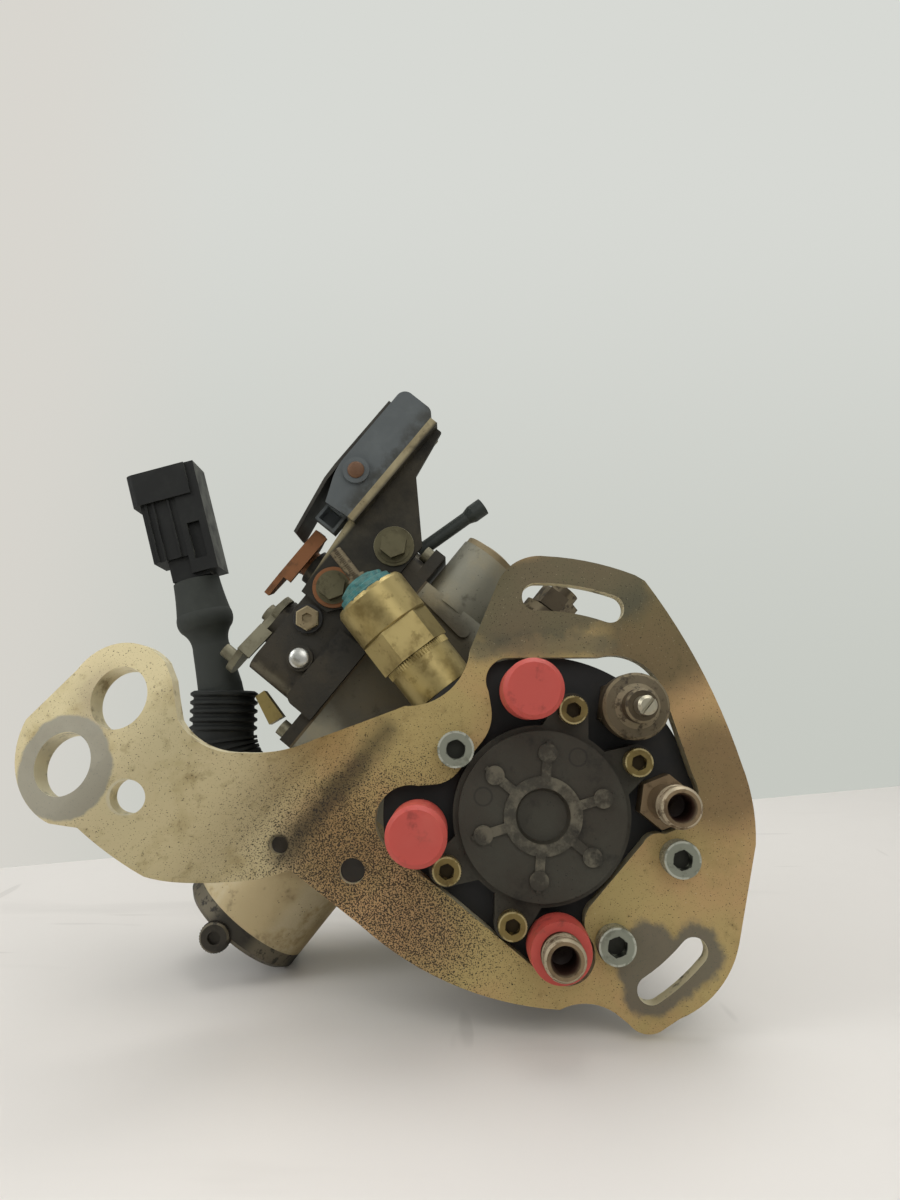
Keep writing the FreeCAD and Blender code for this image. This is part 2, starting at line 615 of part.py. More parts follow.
# Four threaded outlet unions. Two still wear red transit caps, and one the ring of a torn cap.
def outlets():
    s = size
    for number, (x, y) in enumerate(OUTLETS, start=1):
        body = new_body(f"outlet_union_{number}", across(x, y, HEAD_FACE))
        sketch = new_sketch(body, "XZ_Plane")
        hexagon(sketch, s.union_hex)
        pad(body, sketch, s.union_hex_height)
        sketch = new_sketch(body, "XY_Plane")
        neck, neck_end = s.union_thread - 0.4, s.union_hex_height + s.collar_height + 1
        outline(sketch, [(0, 10), (s.union_root, 10), (s.union_root, 0), (neck, 0), (neck, -neck_end),
                         (s.union_thread, -neck_end), (s.union_thread, -(s.union_height - 1)),
                         (s.union_thread - 0.8, -s.union_height), (0, -s.union_height)])
        spin(body, sketch)
        sketch = new_sketch(body, "XY_Plane")
        outline(sketch, [(0, -(s.union_height - 16)), (s.union_bore, -(s.union_height - 14)),
                         (s.union_bore, -(s.union_height - 3)), (s.union_bore + 1, -(s.union_height + 0.5)),
                         (0, -(s.union_height + 0.5))])
        spin(body, sketch, cut=True)
    bore = s.union_thread + s.seat_gap
    base = s.union_hex_height + 0.3
    for name, place in (("outlet_cap_top", OUTLETS[0]), ("outlet_cap_left", OUTLETS[1])):
        rim = s.union_height + 0.3 + s.cap_wall
        lathe(name, [(bore, -base), (s.cap_radius, -base), (s.cap_radius, -(rim - 1.5)),
                     (s.cap_radius - 1.5, -rim), (0, -rim), (0, -(rim - s.cap_wall)),
                     (bore, -(rim - s.cap_wall))], across(*place, HEAD_FACE))
    lathe("outlet_collar", [(bore, -base), (s.cap_radius + 0.6, -base), (s.cap_radius + 0.6, -(base + 5)),
                            (s.cap_radius, -(base + s.collar_height)), (bore, -(base + s.collar_height))],
          across(*OUTLETS[2], HEAD_FACE))


# The pressure regulator is a stepped steel fitting with a slotted adjuster in its nose.
def regulator():
    s = size
    body = new_body("regulator_body", across(s.regulator_side, s.regulator_up, HEAD_FACE))
    sketch = new_sketch(body, "XZ_Plane")
    hexagon(sketch, s.regulator_radius - 1.4)
    pad(body, sketch, 8)
    sketch = new_sketch(body, "XY_Plane")
    drum, stem, nose = s.regulator_radius, s.regulator_stem, s.regulator_height + 3
    outline(sketch, [(0, 11), (stem, 11), (stem, -8), (drum - 0.8, -8), (drum, -9), (drum, -18),
                     (drum - 1, -19.5),
                     (stem + 3, -20.5), (stem + 1, -22), (stem + 1, -nose + 0.8), (stem + 0.2, -nose),
                     (0, -nose)])
    spin(body, sketch)
    sketch = new_sketch(body, "XZ_Plane", s.regulator_height + 3)
    circle(sketch, 0, 0, s.adjuster_radius + s.running_gap)
    pocket(body, sketch, 20)
    body = lathe("regulator_adjuster",
                 [(0, 15), (s.adjuster_radius, 15), (s.adjuster_radius, -(s.adjuster_height - 1)),
                  (s.adjuster_radius - 1, -s.adjuster_height), (0, -s.adjuster_height)],
                 across(s.regulator_side, s.regulator_up, HEAD_FACE + s.regulator_height + 2))
    sketch = new_sketch(body, "XZ_Plane", s.adjuster_height)
    rectangle(sketch, -5, -0.6, 5, 0.6)
    pocket(body, sketch, 2.5)


# The electric stop solenoid screws radially into the head, with its plunger inside.
def solenoid():
    s = size
    side, up = polar_point(1, float(s.solenoid_angle))
    out = across(side, up, 0)
    turn = Rotation(Vector(0, 1, 0), out)
    at = across(0, 0, s.housing_length + s.solenoid_inset) + out * float(s.solenoid_base)
    body = new_body("solenoid_body", at, turn)
    length, radius, collar = s.solenoid_length, s.solenoid_radius, s.solenoid_collar
    rim = length + s.crimp_rise
    sketch = new_sketch(body, "XY_Plane")
    outline(sketch, [(0, -10), (8, -10), (8, 0), (collar, 0), (collar, s.solenoid_hex_start - 1),
                     (collar - 0.8, s.solenoid_hex_start), (collar - 0.8, s.can_start),
                     (radius - 0.6, s.can_start),
                     (radius, s.can_start + 0.6), (radius, rim - 1.5), (radius - 0.8, rim),
                     (s.insulator_radius + 0.4, rim), (s.insulator_radius + 0.4, length), (0, length)])
    spin(body, sketch)
    sketch = new_sketch(body, "XZ_Plane", -s.solenoid_hex_start)
    hexagon(sketch, radius * 0.866)
    pad(body, sketch, s.can_start - s.solenoid_hex_start, back=True)
    sketch = new_sketch(body, "XZ_Plane", -(rim + 0.5))
    circle(sketch, s.insulator_radius + 0.7, 0, 1.25)
    pattern(body, pocket(body, sketch, s.crimp_rise + 0.4, back=True), 14)
    sketch = new_sketch(body, "XZ_Plane")
    circle(sketch, 0, 0, 5 + s.running_gap)
    pocket(body, sketch, 26)
    lathe("solenoid_plunger", [(0, 3), (5, 3), (5, 21), (0, 21)], at, turn)
    brim = s.insulator_radius
    lathe("solenoid_insulator",
          [(0, length), (brim, length), (brim, length + 2.6), (brim - 1.2, length + 3.2),
           (brim - 1.2, length + 4.8),
           (brim - 3, length + 5.4), (brim - 3, length + 7), (brim - 7, length + s.insulator_height),
           (0, length + s.insulator_height)], at, turn)
    stud_seat = length + s.insulator_height
    lathe("terminal_stud", [(0, stud_seat), (s.stud_radius + 1.4, stud_seat),
                            (s.stud_radius + 1.4, stud_seat + 1.5),
                            (s.stud_radius, stud_seat + 1.5), (s.stud_radius, stud_seat + s.stud_length),
                            (0, stud_seat + s.stud_length)], at, turn)


# The return pipe leaves the cover, and the inlet banjo leaves the chamber's side wall.
def fuel_fittings():
    s = size
    out = across(0.966, -0.26, 0)
    lathe("return_pipe",
          [(s.pipe_radius - s.pipe_wall, 1.6), (s.pipe_radius + 2, 1.6), (s.pipe_radius + 2, 5),
           (s.pipe_radius, 5),
           (s.pipe_radius, 27), (s.pipe_radius + 1, 30), (s.pipe_radius + 1, 36),
           (s.pipe_radius - s.pipe_wall, 36)],
          across(s.cover_right - s.cover_inset, 103.5, CHAMBER_REAR - 15), Rotation(Vector(0, 1, 0), out))
    body = new_body("inlet_union", across(s.chamber_half, 43, CHAMBER_REAR - 18),
                    Rotation(Vector(0, 1, 0), across(1, 0, 0)))
    for start, width, height in ((0, 9, 9), (25, 8, 8)):
        sketch = new_sketch(body, "XZ_Plane", -start)
        hexagon(sketch, width)
        pad(body, sketch, height, back=True)
    sketch = new_sketch(body, "XY_Plane")
    outline(sketch, [(0, 0), (6, 0), (6, 12), (11, 12), (11, 24), (6, 24), (6, 37), (0, 37)])
    spin(body, sketch)
    boss = across(s.side_boss_reach, s.side_boss_height, CHAMBER_REAR - 13)
    lathe("side_plug", [(0, 0), (s.side_boss_radius - 0.5, 0), (s.side_boss_radius - 0.5, 2.5), (9, 3),
                        (7, 4), (0, 4)], boss, Rotation(Vector(0, 1, 0), across(1, 0, 0)))


# A plated sheet bracket on the cover's rear holds the throttle switch.
def throttle_switch():
    s = size
    floor, rear = s.switch_floor, CHAMBER_REAR + s.switch_overhang
    start, end, top = s.switch_start, s.switch_start + s.switch_length, s.switch_floor + s.switch_thick
    front = rear - s.switch_width
    body = new_body("switch_bracket")
    sketch = new_sketch(body, "XZ_Plane", CHAMBER_REAR)
    outline(sketch, [(8, 114), (26, 101), (54, 101), (75.6, floor - 9.8), (end - 3.5, floor - 6),
                     (end - 3.5, floor), (start - 1.5, floor), (8, floor - 4)])
    pad(body, sketch, s.web_thick)
    sketch = new_sketch(body, "XY_Plane", floor - s.shelf_thick)
    rectangle(sketch, start, -rear, end - 3, -front)
    pad(body, sketch, s.shelf_thick)
    sketch = new_sketch(body, "XZ_Plane", CHAMBER_REAR + s.web_thick)
    for side, up in SWITCH_BOLTS:
        circle(sketch, side, up, 3 + FREE)
    pocket(body, sketch, s.web_thick)
    body = new_body("switch_body")
    sketch = new_sketch(body, "XZ_Plane", front)
    outline(sketch, [(start, floor), (end - 4, floor), (end - 1.2, floor + 1.2, end, floor + 4),
                     (end, top - 4),
                     (end - 1.2, top - 1.2, end - 4, top), (start + 18, top),
                     (start + 12, top - 0.8, start + 7, top - 2.6), (start - 1, top - 6)])
    pad(body, sketch, s.switch_width)
    sketch = new_sketch(body, "XZ_Plane", rear)
    circle(sketch, start + 17, floor + 9.4, 5.5)
    pad(body, sketch, 1.8)
    hood = rear - 5
    sketch = new_sketch(body, "XZ_Plane", hood - 8)
    rectangle(sketch, start - 8.5, floor + 1.2, start + 1, floor + 11.2)
    pad(body, sketch, 8)
    sketch = new_sketch(body, "XZ_Plane", hood)
    rectangle(sketch, start - 7.3, floor + 2.4, start - 1.2, floor + 10)
    pocket(body, sketch, 6)
    body = new_body("switch_plate")
    sketch = new_sketch(body, "XZ_Plane", front + 2)
    outline(sketch, [(end - 8, top + 0.02), (start + 14, top + 0.02), (start + 6.5, top - 0.3),
                     (start - 18.5, top - 5),
                     (start - 18.5, top - 3.6), (start + 6.5, top + 1.2), (start + 14, top + 1.6),
                     (end - 8, top + 1.4)])
    pad(body, sketch, s.switch_width - 3)
    for number, (side, up) in enumerate(SWITCH_BOLTS, start=1):
        body = new_body(f"switch_bolt_{number}", across(side, up, CHAMBER_REAR + s.web_thick))
        sketch = new_sketch(body, "XY_Plane")
        outline(sketch, [(0, 7), (3, 7), (3, 0), (7, 0), (7, -1.5), (0, -1.5)])
        spin(body, sketch)
        sketch = new_sketch(body, "XZ_Plane", 1.5)
        hexagon(sketch, 5)
        pad(body, sketch, 4.5)


# Throttle lever and copper fast-idle lever turn on shafts through the cover.
def levers():
    s = size
    top = s.chamber_top + s.gasket_thick + s.cover_lip + s.cover_rise
    seat = top + s.throttle_boss_rise + s.seat_gap
    body = new_body("throttle_lever", across(-s.throttle_side, 0, s.throttle_station))
    sketch = new_sketch(body, "XY_Plane", seat)
    circle(sketch, 0, 0, 9)
    pad(body, sketch, 4)
    sketch = new_sketch(body, "XY_Plane", seat)
    outline(sketch, [(0, -9), (9, -9, 9, 0), (6, 6), (-24, -2), (-30, -7, -26, -13), (-20, -15)])
    pad(body, sketch, 3)
    sketch = new_sketch(body, "XY_Plane", seat - 3.4)
    outline(sketch, [(-6, -10.8), (-20, -15), (-19.4, -17), (-5.4, -12.8)])
    pad(body, sketch, 6.4)
    sketch = new_sketch(body, "XY_Plane", seat + 3)
    circle(sketch, -24, -8, 3)
    pad(body, sketch, 6)
    sketch = new_sketch(body, "XY_Plane", seat - 45)
    circle(sketch, 0, 0, 4)
    pad(body, sketch, 52)
    seat = top + s.idle_boss_rise + s.seat_gap
    body = new_body("idle_lever", across(s.idle_side, 0, s.idle_station))
    sketch = new_sketch(body, "XY_Plane", seat)
    circle(sketch, 0, 0, 6)
    pad(body, sketch, 6)
    sketch = new_sketch(body, "XY_Plane", seat + 3.5)
    outline(sketch, [(-6, 6), (-7, -6), (-20, -9), (-22, -14), (-12, -15), (12, -15), (13, -6),
                     (7, 6, 0, 7.5)])
    pad(body, sketch, 2.5)
    sketch = new_sketch(body, "XY_Plane", seat)
    rectangle(sketch, -12, -15, 12, -13)
    pad(body, sketch, 6)
    sketch = new_sketch(body, "XY_Plane", seat - 36)
    circle(sketch, 0, 0, 3)
    pad(body, sketch, 44)


# Timing-advance unit: a cylinder on the chamber's side whose piston turns the cam ring.
def advance_unit():
    s = size
    turn = ROLL.multiply(Rotation(Vector(0, 0, 1), 90))
    at = across(-s.chamber_half, s.advance_height, s.cam_station)
    reach = s.advance_end - s.chamber_half
    bore_end = reach - s.cap_thick
    body = new_body("advance_housing", at, turn)
    sketch = new_sketch(body, "XY_Plane")
    rod, piston = s.rod_radius + s.running_gap, s.piston_radius + s.running_gap
    outline(sketch, [(rod, 0), (s.advance_radius, 0), (s.advance_radius, bore_end), (piston, bore_end),
                     (piston, 8), (rod, 8)])
    spin(body, sketch)
    sketch = new_sketch(body, "XY_Plane", s.advance_radius - 6)
    circle(sketch, 0, s.gland_reach, s.gland_radius)
    pad(body, sketch, 7)
    lathe("advance_cap", [(0, bore_end), (s.advance_radius, bore_end), (s.advance_radius, reach - 2),
                          (s.advance_radius - 2, reach), (14, reach), (12, reach - 2), (10, reach - 2),
                          (10, reach + 1), (0, reach + 1)], at, turn)
    start = 8.5
    rod_end = s.chamber_half - 5.3
    round_x, round_y = polar_point(s.rod_radius, 45)
    shoulder = s.rod_radius - rod_end
    lathe("advance_piston", [(0, -rod_end), (round_x, shoulder - round_y, s.rod_radius, shoulder),
                             (s.rod_radius, start + 10),
                             (s.piston_radius, start + 10), (s.piston_radius, start + 10 + s.piston_length),
                             (0, start + 10 + s.piston_length)], at, turn)


# Shaft, seal, bearing, governor weights, cam ring, rotor and plungers inside the housing.
def drive_line():
    s = size
    body = lathe("drive_shaft", [(0, s.shaft_front), (6, s.shaft_front), (7, s.shaft_front - 1),
                                 (7, 28), (7.5, 28),
                          (s.shaft_radius, 10), (s.shaft_radius, -(CAM_FRONT - 0.3)),
                          (0, -(CAM_FRONT - 0.3))])
    sketch = new_sketch(body, "XZ_Plane", -14)
    rectangle(sketch, -2 - s.running_gap, 5, 2 + s.running_gap, 12)
    pocket(body, sketch, 12)
    body = new_body("shaft_key")
    sketch = new_sketch(body, "XZ_Plane", -26)
    rectangle(sketch, -2, 5, 2, 11)
    pad(body, sketch, 12)
    lathe("shaft_seal", [(s.shaft_radius + s.running_gap, -1), (s.seal_radius, -1),
                         (s.seal_radius, -1 - s.seal_width),
                         (s.shaft_radius + s.running_gap, -1 - s.seal_width)])
    bearing = s.seal_width + 3
    lathe("shaft_bearing", [(s.shaft_radius + s.running_gap, -bearing), (s.bearing_radius, -bearing),
                            (s.bearing_radius, -bearing - s.bearing_width),
                            (s.shaft_radius + s.running_gap, -bearing - s.bearing_width)])
    body = lathe("weight_cage", [(s.shaft_radius + 0.02, -s.cage_station), (s.cage_radius, -s.cage_station),
                          (s.cage_radius, -s.cage_station - s.cage_thick),
                          (s.shaft_radius + 0.02, -s.cage_station - s.cage_thick)])
    cage_rear = s.cage_station + s.cage_thick
    hinge_station = cage_rear + 2.5
    for way in (1, -1):
        for near in (7.8, -10.8):
            sketch = new_sketch(body, "XZ_Plane", cage_rear)
            rectangle(sketch, near, way * (s.hinge_pin_height - 4), near + 3,
                      way * (s.hinge_pin_height + 3))
            pad(body, sketch, 6)
    sketch = new_sketch(body, "YZ_Plane")
    for way in (1, -1):
        circle(sketch, -hinge_station, way * s.hinge_pin_height, s.hinge_pin_radius + s.running_gap)
    pocket(body, sketch, 30, both=True)
    weight_start = cage_rear + 1.3
    weight_end = CAM_FRONT - s.weight_gap
    for number, flip in ((1, 0), (2, 180)):
        turn = ROLL.multiply(Rotation(AXIS, flip))
        body = new_body(f"governor_weight_{number}", Vector(), turn)
        sketch = new_sketch(body, "YZ_Plane")
        heel = weight_start + (weight_end - weight_start) * 0.67
        outline(sketch, [(-weight_start, 17), (-weight_start, 27), (-heel, 29),
                         (-weight_end, 27), (-weight_end, 17)])
        pad(body, sketch, 15, both=True)
        sketch = new_sketch(body, "YZ_Plane")
        circle(sketch, -hinge_station, s.hinge_pin_height, s.hinge_pin_radius)
        pad(body, sketch, 22, both=True)
    sleeve_end = CAM_FRONT - s.sleeve_gap
    lathe("thrust_sleeve", [(s.shaft_radius + s.running_gap, -hinge_station),
                            (s.sleeve_radius, -hinge_station),
                            (s.sleeve_radius, -hinge_station - 3),
                            (s.sleeve_radius - 2, -hinge_station - 3),
                            (s.sleeve_radius - 2, -sleeve_end),
                            (s.shaft_radius + s.running_gap, -sleeve_end)])
    body = new_body("cam_ring")
    sketch = new_sketch(body, "XZ_Plane", CAM_FRONT)
    circle(sketch, 0, 0, s.cam_ring_radius)
    circle(sketch, 0, 0, s.cam_bore)
    pad(body, sketch, s.cam_width)
    sketch = new_sketch(body, "XZ_Plane", CAM_FRONT)
    circle(sketch, *polar_point(s.cam_bore + 4 - s.lobe_rise, 45), 4)
    pattern(body, pad(body, sketch, s.cam_width), 4)
    sketch = new_sketch(body, "XY_Plane", s.cam_ring_radius - 3)
    circle(sketch, 0, -s.cam_station, s.cam_pin_radius)
    pad(body, sketch, s.advance_height + 5 - s.cam_ring_radius + 3)
    body = new_body("rotor")
    sketch = new_sketch(body, "XY_Plane")
    rotor_end = HEAD_FACE - 0.5
    outline(sketch, [(0, -CAM_FRONT), (s.rotor_drum, -CAM_FRONT), (s.rotor_drum, -CAM_REAR),
                     (s.rotor_radius, -CAM_REAR), (s.rotor_radius, -rotor_end), (0, -rotor_end)])
    spin(body, sketch)
    sketch = new_sketch(body, "YZ_Plane")
    circle(sketch, -s.cam_station, 0, s.plunger_radius + s.running_gap)
    pocket(body, sketch, s.rotor_drum * 3, both=True)
    for way in (1, -1):
        sketch = new_sketch(body, "XZ_Plane", CAM_REAR + 1)
        rectangle(sketch, way * 14, -4.6, way * (s.rotor_drum + 5), 4.6)
        pocket(body, sketch, s.cam_width + 2)
    roller_centre = s.cam_bore - s.lobe_rise - 0.1 - s.roller_radius
    for number, flip in ((1, 0), (2, 180)):
        turn = ROLL.multiply(Rotation(AXIS, flip))
        body = new_body(f"plunger_{number}", Vector(), turn)
        sketch = new_sketch(body, "YZ_Plane", 1)
        circle(sketch, -s.cam_station, 0, s.plunger_radius)
        pad(body, sketch, roller_centre - 5)
        sketch = new_sketch(body, "YZ_Plane", 14.5)
        rectangle(sketch, -(CAM_REAR - 1.5), -4.4, -(CAM_FRONT + 1.5), 4.4)
        pad(body, sketch, roller_centre - 14.5)
        sketch = new_sketch(body, "XZ_Plane", CAM_FRONT + 1)
        circle(sketch, roller_centre, 0, s.roller_radius)
        pad(body, sketch, s.cam_width - 2)
    body = new_body("metering_valve", across(0, 0, s.housing_length - s.valve_inset))
    sketch = new_sketch(body, "XY_Plane", 14.3)
    circle(sketch, 0, 0, s.valve_radius)
    pad(body, sketch, 34)
    sketch = new_sketch(body, "XY_Plane", 44)
    rectangle(sketch, -2.5, -2.5, 2.5,
              s.housing_length - s.valve_inset - s.cam_station - s.cam_pin_radius * 2)
    pad(body, sketch, 3)


# The sender lead: gland, corrugated sleeve, rubber boot and connector, moulded stiff as one run.
def lead():
    s = size
    seat = s.advance_height + s.advance_radius + 1
    foot = across(-(s.chamber_half + s.gland_reach), seat, s.cam_station)
    up = across(0, 1, 0)
    lathe("lead_gland", [(0, 0), (s.gland_radius, 0), (s.gland_radius, 5), (s.gland_radius - 2, 7),
                         (s.gland_radius - 2, s.gland_height), (0, s.gland_height)],
          foot, Rotation(AXIS, up))
    lean = math.radians(float(s.roll_angle))
    bend, rise = float(s.sleeve_bend), float(s.sleeve_rise)
    aside, drop = bend * (1 - math.cos(lean)), bend * math.sin(lean)
    top = foot + up * float(s.gland_height) + Vector(-aside, 0, drop + rise)
    sleeve = new_body("corrugated_sleeve", top, Rotation())
    path = new_sketch(sleeve, "XZ_Plane")
    path.addGeometry(Part.LineSegment(Vector(), Vector(0, -rise, 0)), False)
    middle = Vector(bend * (1 - math.cos(lean / 2)), -rise - bend * math.sin(lean / 2), 0)
    path.addGeometry(Part.Arc(Vector(0, -rise, 0), middle, Vector(aside, -rise - drop, 0)), False)
    path.addConstraint(Sketcher.Constraint("Block", 0))
    path.addConstraint(Sketcher.Constraint("Block", 1))
    ring = new_sketch(sleeve, "XY_Plane")
    circle(ring, 0, 0, s.sleeve_valley)
    pipe = sleeve.newObject("PartDesign::AdditivePipe", "Pipe")
    pipe.Profile = ring
    pipe.Spine = (path, ["Edge1", "Edge2"])
    valley, ridge, mouth = float(s.sleeve_valley), float(s.sleeve_ridge), float(s.mouth_depth)
    folds = [(0, 0), (float(s.mouth_radius), 0), (float(s.mouth_radius), mouth)]
    height = mouth
    while height > 3 - rise:
        folds += [(valley, height), (ridge, height - 0.9), (ridge, height - 1.9), (valley, height - 2.8)]
        height -= float(s.sleeve_pitch)
    sketch = new_sketch(sleeve, "XZ_Plane")
    outline(sketch, folds + [(0, folds[-1][1])])
    spin(sleeve, sketch)
    travel = float(s.sleeve_pitch)
    while travel < bend * lean - 2:
        angle = travel / bend
        sketch = new_sketch(sleeve, "XY_Plane")
        circle(sketch, 0, 0, s.sleeve_ridge)
        sketch.AttachmentOffset = Placement(
            Vector(bend * (1 - math.cos(angle)), 0, -rise - bend * math.sin(angle)),
            Rotation(Vector(0, 1, 0), -math.degrees(angle)))
        pad(sleeve, sketch, 1.3, both=True)
        travel += float(s.sleeve_pitch)
    boot_turn = Rotation(Vector(0, -1, 0), float(s.boot_lean)).multiply(Rotation(Vector(1, 0, 0), 90))
    length = s.boot_length
    body = lathe("cable_boot", [(0, -4), (9.6, -4), (9.7, 8), (8.8, 18, 8.2, 26), (8.6, 31, 11.2, 35),
                                (12.4, 38.5, 11.9, 42), (10.9, 49, 10.2, length),
                                (0, length)], top, boot_turn)
    sketch = new_sketch(body, "XY_Plane")
    slope = math.tan(math.radians(float(s.boot_lean)))
    outline(sketch, [(-20, 20 * slope + 0.3), (-20, -20), (20, -20), (20, -20 * slope + 0.3)])
    pocket(body, sketch, 60, both=True)
    neck = top + boot_turn.multVec(Vector(0, float(length) + 0.5, 0))
    tilt = Rotation(Vector(0, -1, 0), float(s.connector_lean))
    body = new_body("connector", neck, tilt)
    deep, tall = s.connector_depth, s.connector_height
    for corners, depth in (((-8.5, 0, 8.5, 11), deep - 5), ((1.4, 1.5, 13, tall), deep),
                           ((-14.3, 10, 2, 38), deep - 2)):
        sketch = new_sketch(body, "XZ_Plane")
        rectangle(sketch, *corners)
        pad(body, sketch, depth, both=True)
    sketch = new_sketch(body, "XY_Plane", tall - s.band_height)
    half = deep / 2 + 1.2
    outline(sketch, [(9, -half), (9, half), (-14.6, half), (-16.7, half - 0.9, -17.6, half - 3),
                     (-17.6, -half + 3), (-16.7, -half + 0.9, -14.6, -half)])
    pad(body, sketch, s.band_height)
    sketch = new_sketch(body, "XZ_Plane", deep / 2)
    rectangle(sketch, 4, 7.5, 9.6, 24)
    pocket(body, sketch, 2.5)
    for x in (-12.4, -9.2, -2.4):
        sketch = new_sketch(body, "XZ_Plane", deep / 2 - 1)
        rectangle(sketch, x, 10, x + 0.9, 38)
        pad(body, sketch, 1)
    sketch = new_sketch(body, "XY_Plane", tall)
    rectangle(sketch, -15, -deep / 2 + 2.5, 10.5, deep / 2 - 2.5)
    pocket(body, sketch, 14)
    for x in (-9, -2, 5):
        sketch = new_sketch(body, "XY_Plane", tall - 15)
        rectangle(sketch, x - 0.4, -1.5, x + 0.4, 1.5)
        pad(body, sketch, 11)


for build in (pump_housing, cover_gasket, governor_cover, cover_screws, hydraulic_head, end_plate,
              rear_bracket, outlets, regulator, solenoid, fuel_fittings, throttle_switch, levers,
              advance_unit, drive_line, lead):
    build()
doc.recompute()

failed = [item.Label for item in doc.Objects if "Invalid" in item.State or "Error" in item.State]
for piece in pieces:
    if piece.Shape.isNull() or not piece.Shape.isValid() or len(piece.Shape.Solids) != 1:
        failed.append(piece.Label)
if failed:
    raise SystemExit("not built: " + ", ".join(failed))

os.makedirs("parts", exist_ok=True)
for piece in pieces:
    piece.Shape.exportStep(f"parts/{piece.Label}.step")
print(len(pieces), "pieces written")
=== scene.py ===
import json
import math
import bpy
from mathutils import Matrix, Vector


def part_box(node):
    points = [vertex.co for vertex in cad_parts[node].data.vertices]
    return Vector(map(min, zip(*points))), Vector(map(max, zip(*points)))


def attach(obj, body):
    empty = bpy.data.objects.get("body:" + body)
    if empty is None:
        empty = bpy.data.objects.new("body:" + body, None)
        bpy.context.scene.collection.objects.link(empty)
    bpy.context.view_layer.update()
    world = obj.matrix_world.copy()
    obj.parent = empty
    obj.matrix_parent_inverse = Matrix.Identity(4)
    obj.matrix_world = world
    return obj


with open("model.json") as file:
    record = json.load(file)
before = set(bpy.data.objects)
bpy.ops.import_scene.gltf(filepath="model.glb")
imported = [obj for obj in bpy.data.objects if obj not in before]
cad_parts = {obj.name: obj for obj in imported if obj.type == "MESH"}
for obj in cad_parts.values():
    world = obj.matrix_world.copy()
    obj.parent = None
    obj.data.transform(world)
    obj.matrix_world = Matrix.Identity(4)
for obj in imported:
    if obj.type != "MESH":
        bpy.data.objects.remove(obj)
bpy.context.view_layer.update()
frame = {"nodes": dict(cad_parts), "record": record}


# The photographer stood close behind the pump and tipped the camera a little upwards.
# The pump is seen square on from its outlets, so the view is almost along its axis.
camera_place = Vector((-0.033, -0.466, 0.032))
camera_pitch = math.radians(97.74)
camera = bpy.data.objects.new("camera", bpy.data.cameras.new("camera"))
camera.data.lens = 27.6
camera.data.sensor_width = 36
camera.data.clip_start = 0.01
camera.location = camera_place
camera.rotation_euler = (camera_pitch, 0, 0)
bpy.context.scene.collection.objects.link(camera)
bpy.context.scene.camera = camera
bpy.context.scene.view_settings.view_transform = "Standard"


# A white laminate table with faint scratches, in front of a plain pale wall.
# The pump's axis tips down by seven degrees on it, so here the table is the thing that tilts.
class Wire:
    """One socket of a node board, so that sums on it can be written as Python expressions."""

    def __init__(self, board, socket):
        self.board = board
        self.socket = socket

    def math(self, operation, first, second):
        return self.board.add("ShaderNodeMath", {"operation": operation}, {0: first, 1: second})

    def __add__(self, other):
        return self.math("ADD", self, other)

    def __radd__(self, other):
        return self.math("ADD", other, self)

    def __sub__(self, other):
        return self.math("SUBTRACT", self, other)

    def __rsub__(self, other):
        return self.math("SUBTRACT", other, self)

    def __mul__(self, other):
        return self.math("MULTIPLY", self, other)

    def __pow__(self, other):
        return self.math("POWER", self, other)

    def __abs__(self):
        return self.math("ABSOLUTE", self, 0)

    def least(self, other):
        return self.math("MINIMUM", self, other)

    def most(self, other):
        return self.math("MAXIMUM", self, other)

    def rise(self, low, high):
        """0 below low, 1 above high, and a smooth step between. It falls where high is under low."""
        sockets = {"Value": self, "From Min": low, "From Max": high}
        return self.board.add("ShaderNodeMapRange", {"interpolation_type": "SMOOTHSTEP"}, sockets)


class Board:
    """A tree of nodes. add makes any node, from its type, its settings and the values of its sockets."""

    def __init__(self, tree):
        self.tree = tree

    def add(self, kind, settings=None, sockets=None, output=0):
        node = self.tree.nodes.new(kind)
        for name, value in (settings or {}).items():
            setattr(node, name, value)
        for name, value in (sockets or {}).items():
            self.join(value, node.inputs[name])
        return Wire(self, node.outputs[output])

    def join(self, value, socket):
        if isinstance(value, Wire):
            self.tree.links.new(value.socket, socket)
        else:
            socket.default_value = value


def shade(red, green, blue):
    """A colour as it is seen, 0 to 255, turned into the light that a shader works in."""
    seen = [part / 255 for part in (red, green, blue)]
    return (*[part / 12.92 if part <= 0.04 else ((part + 0.055) / 1.055) ** 2.4 for part in seen], 1.0)


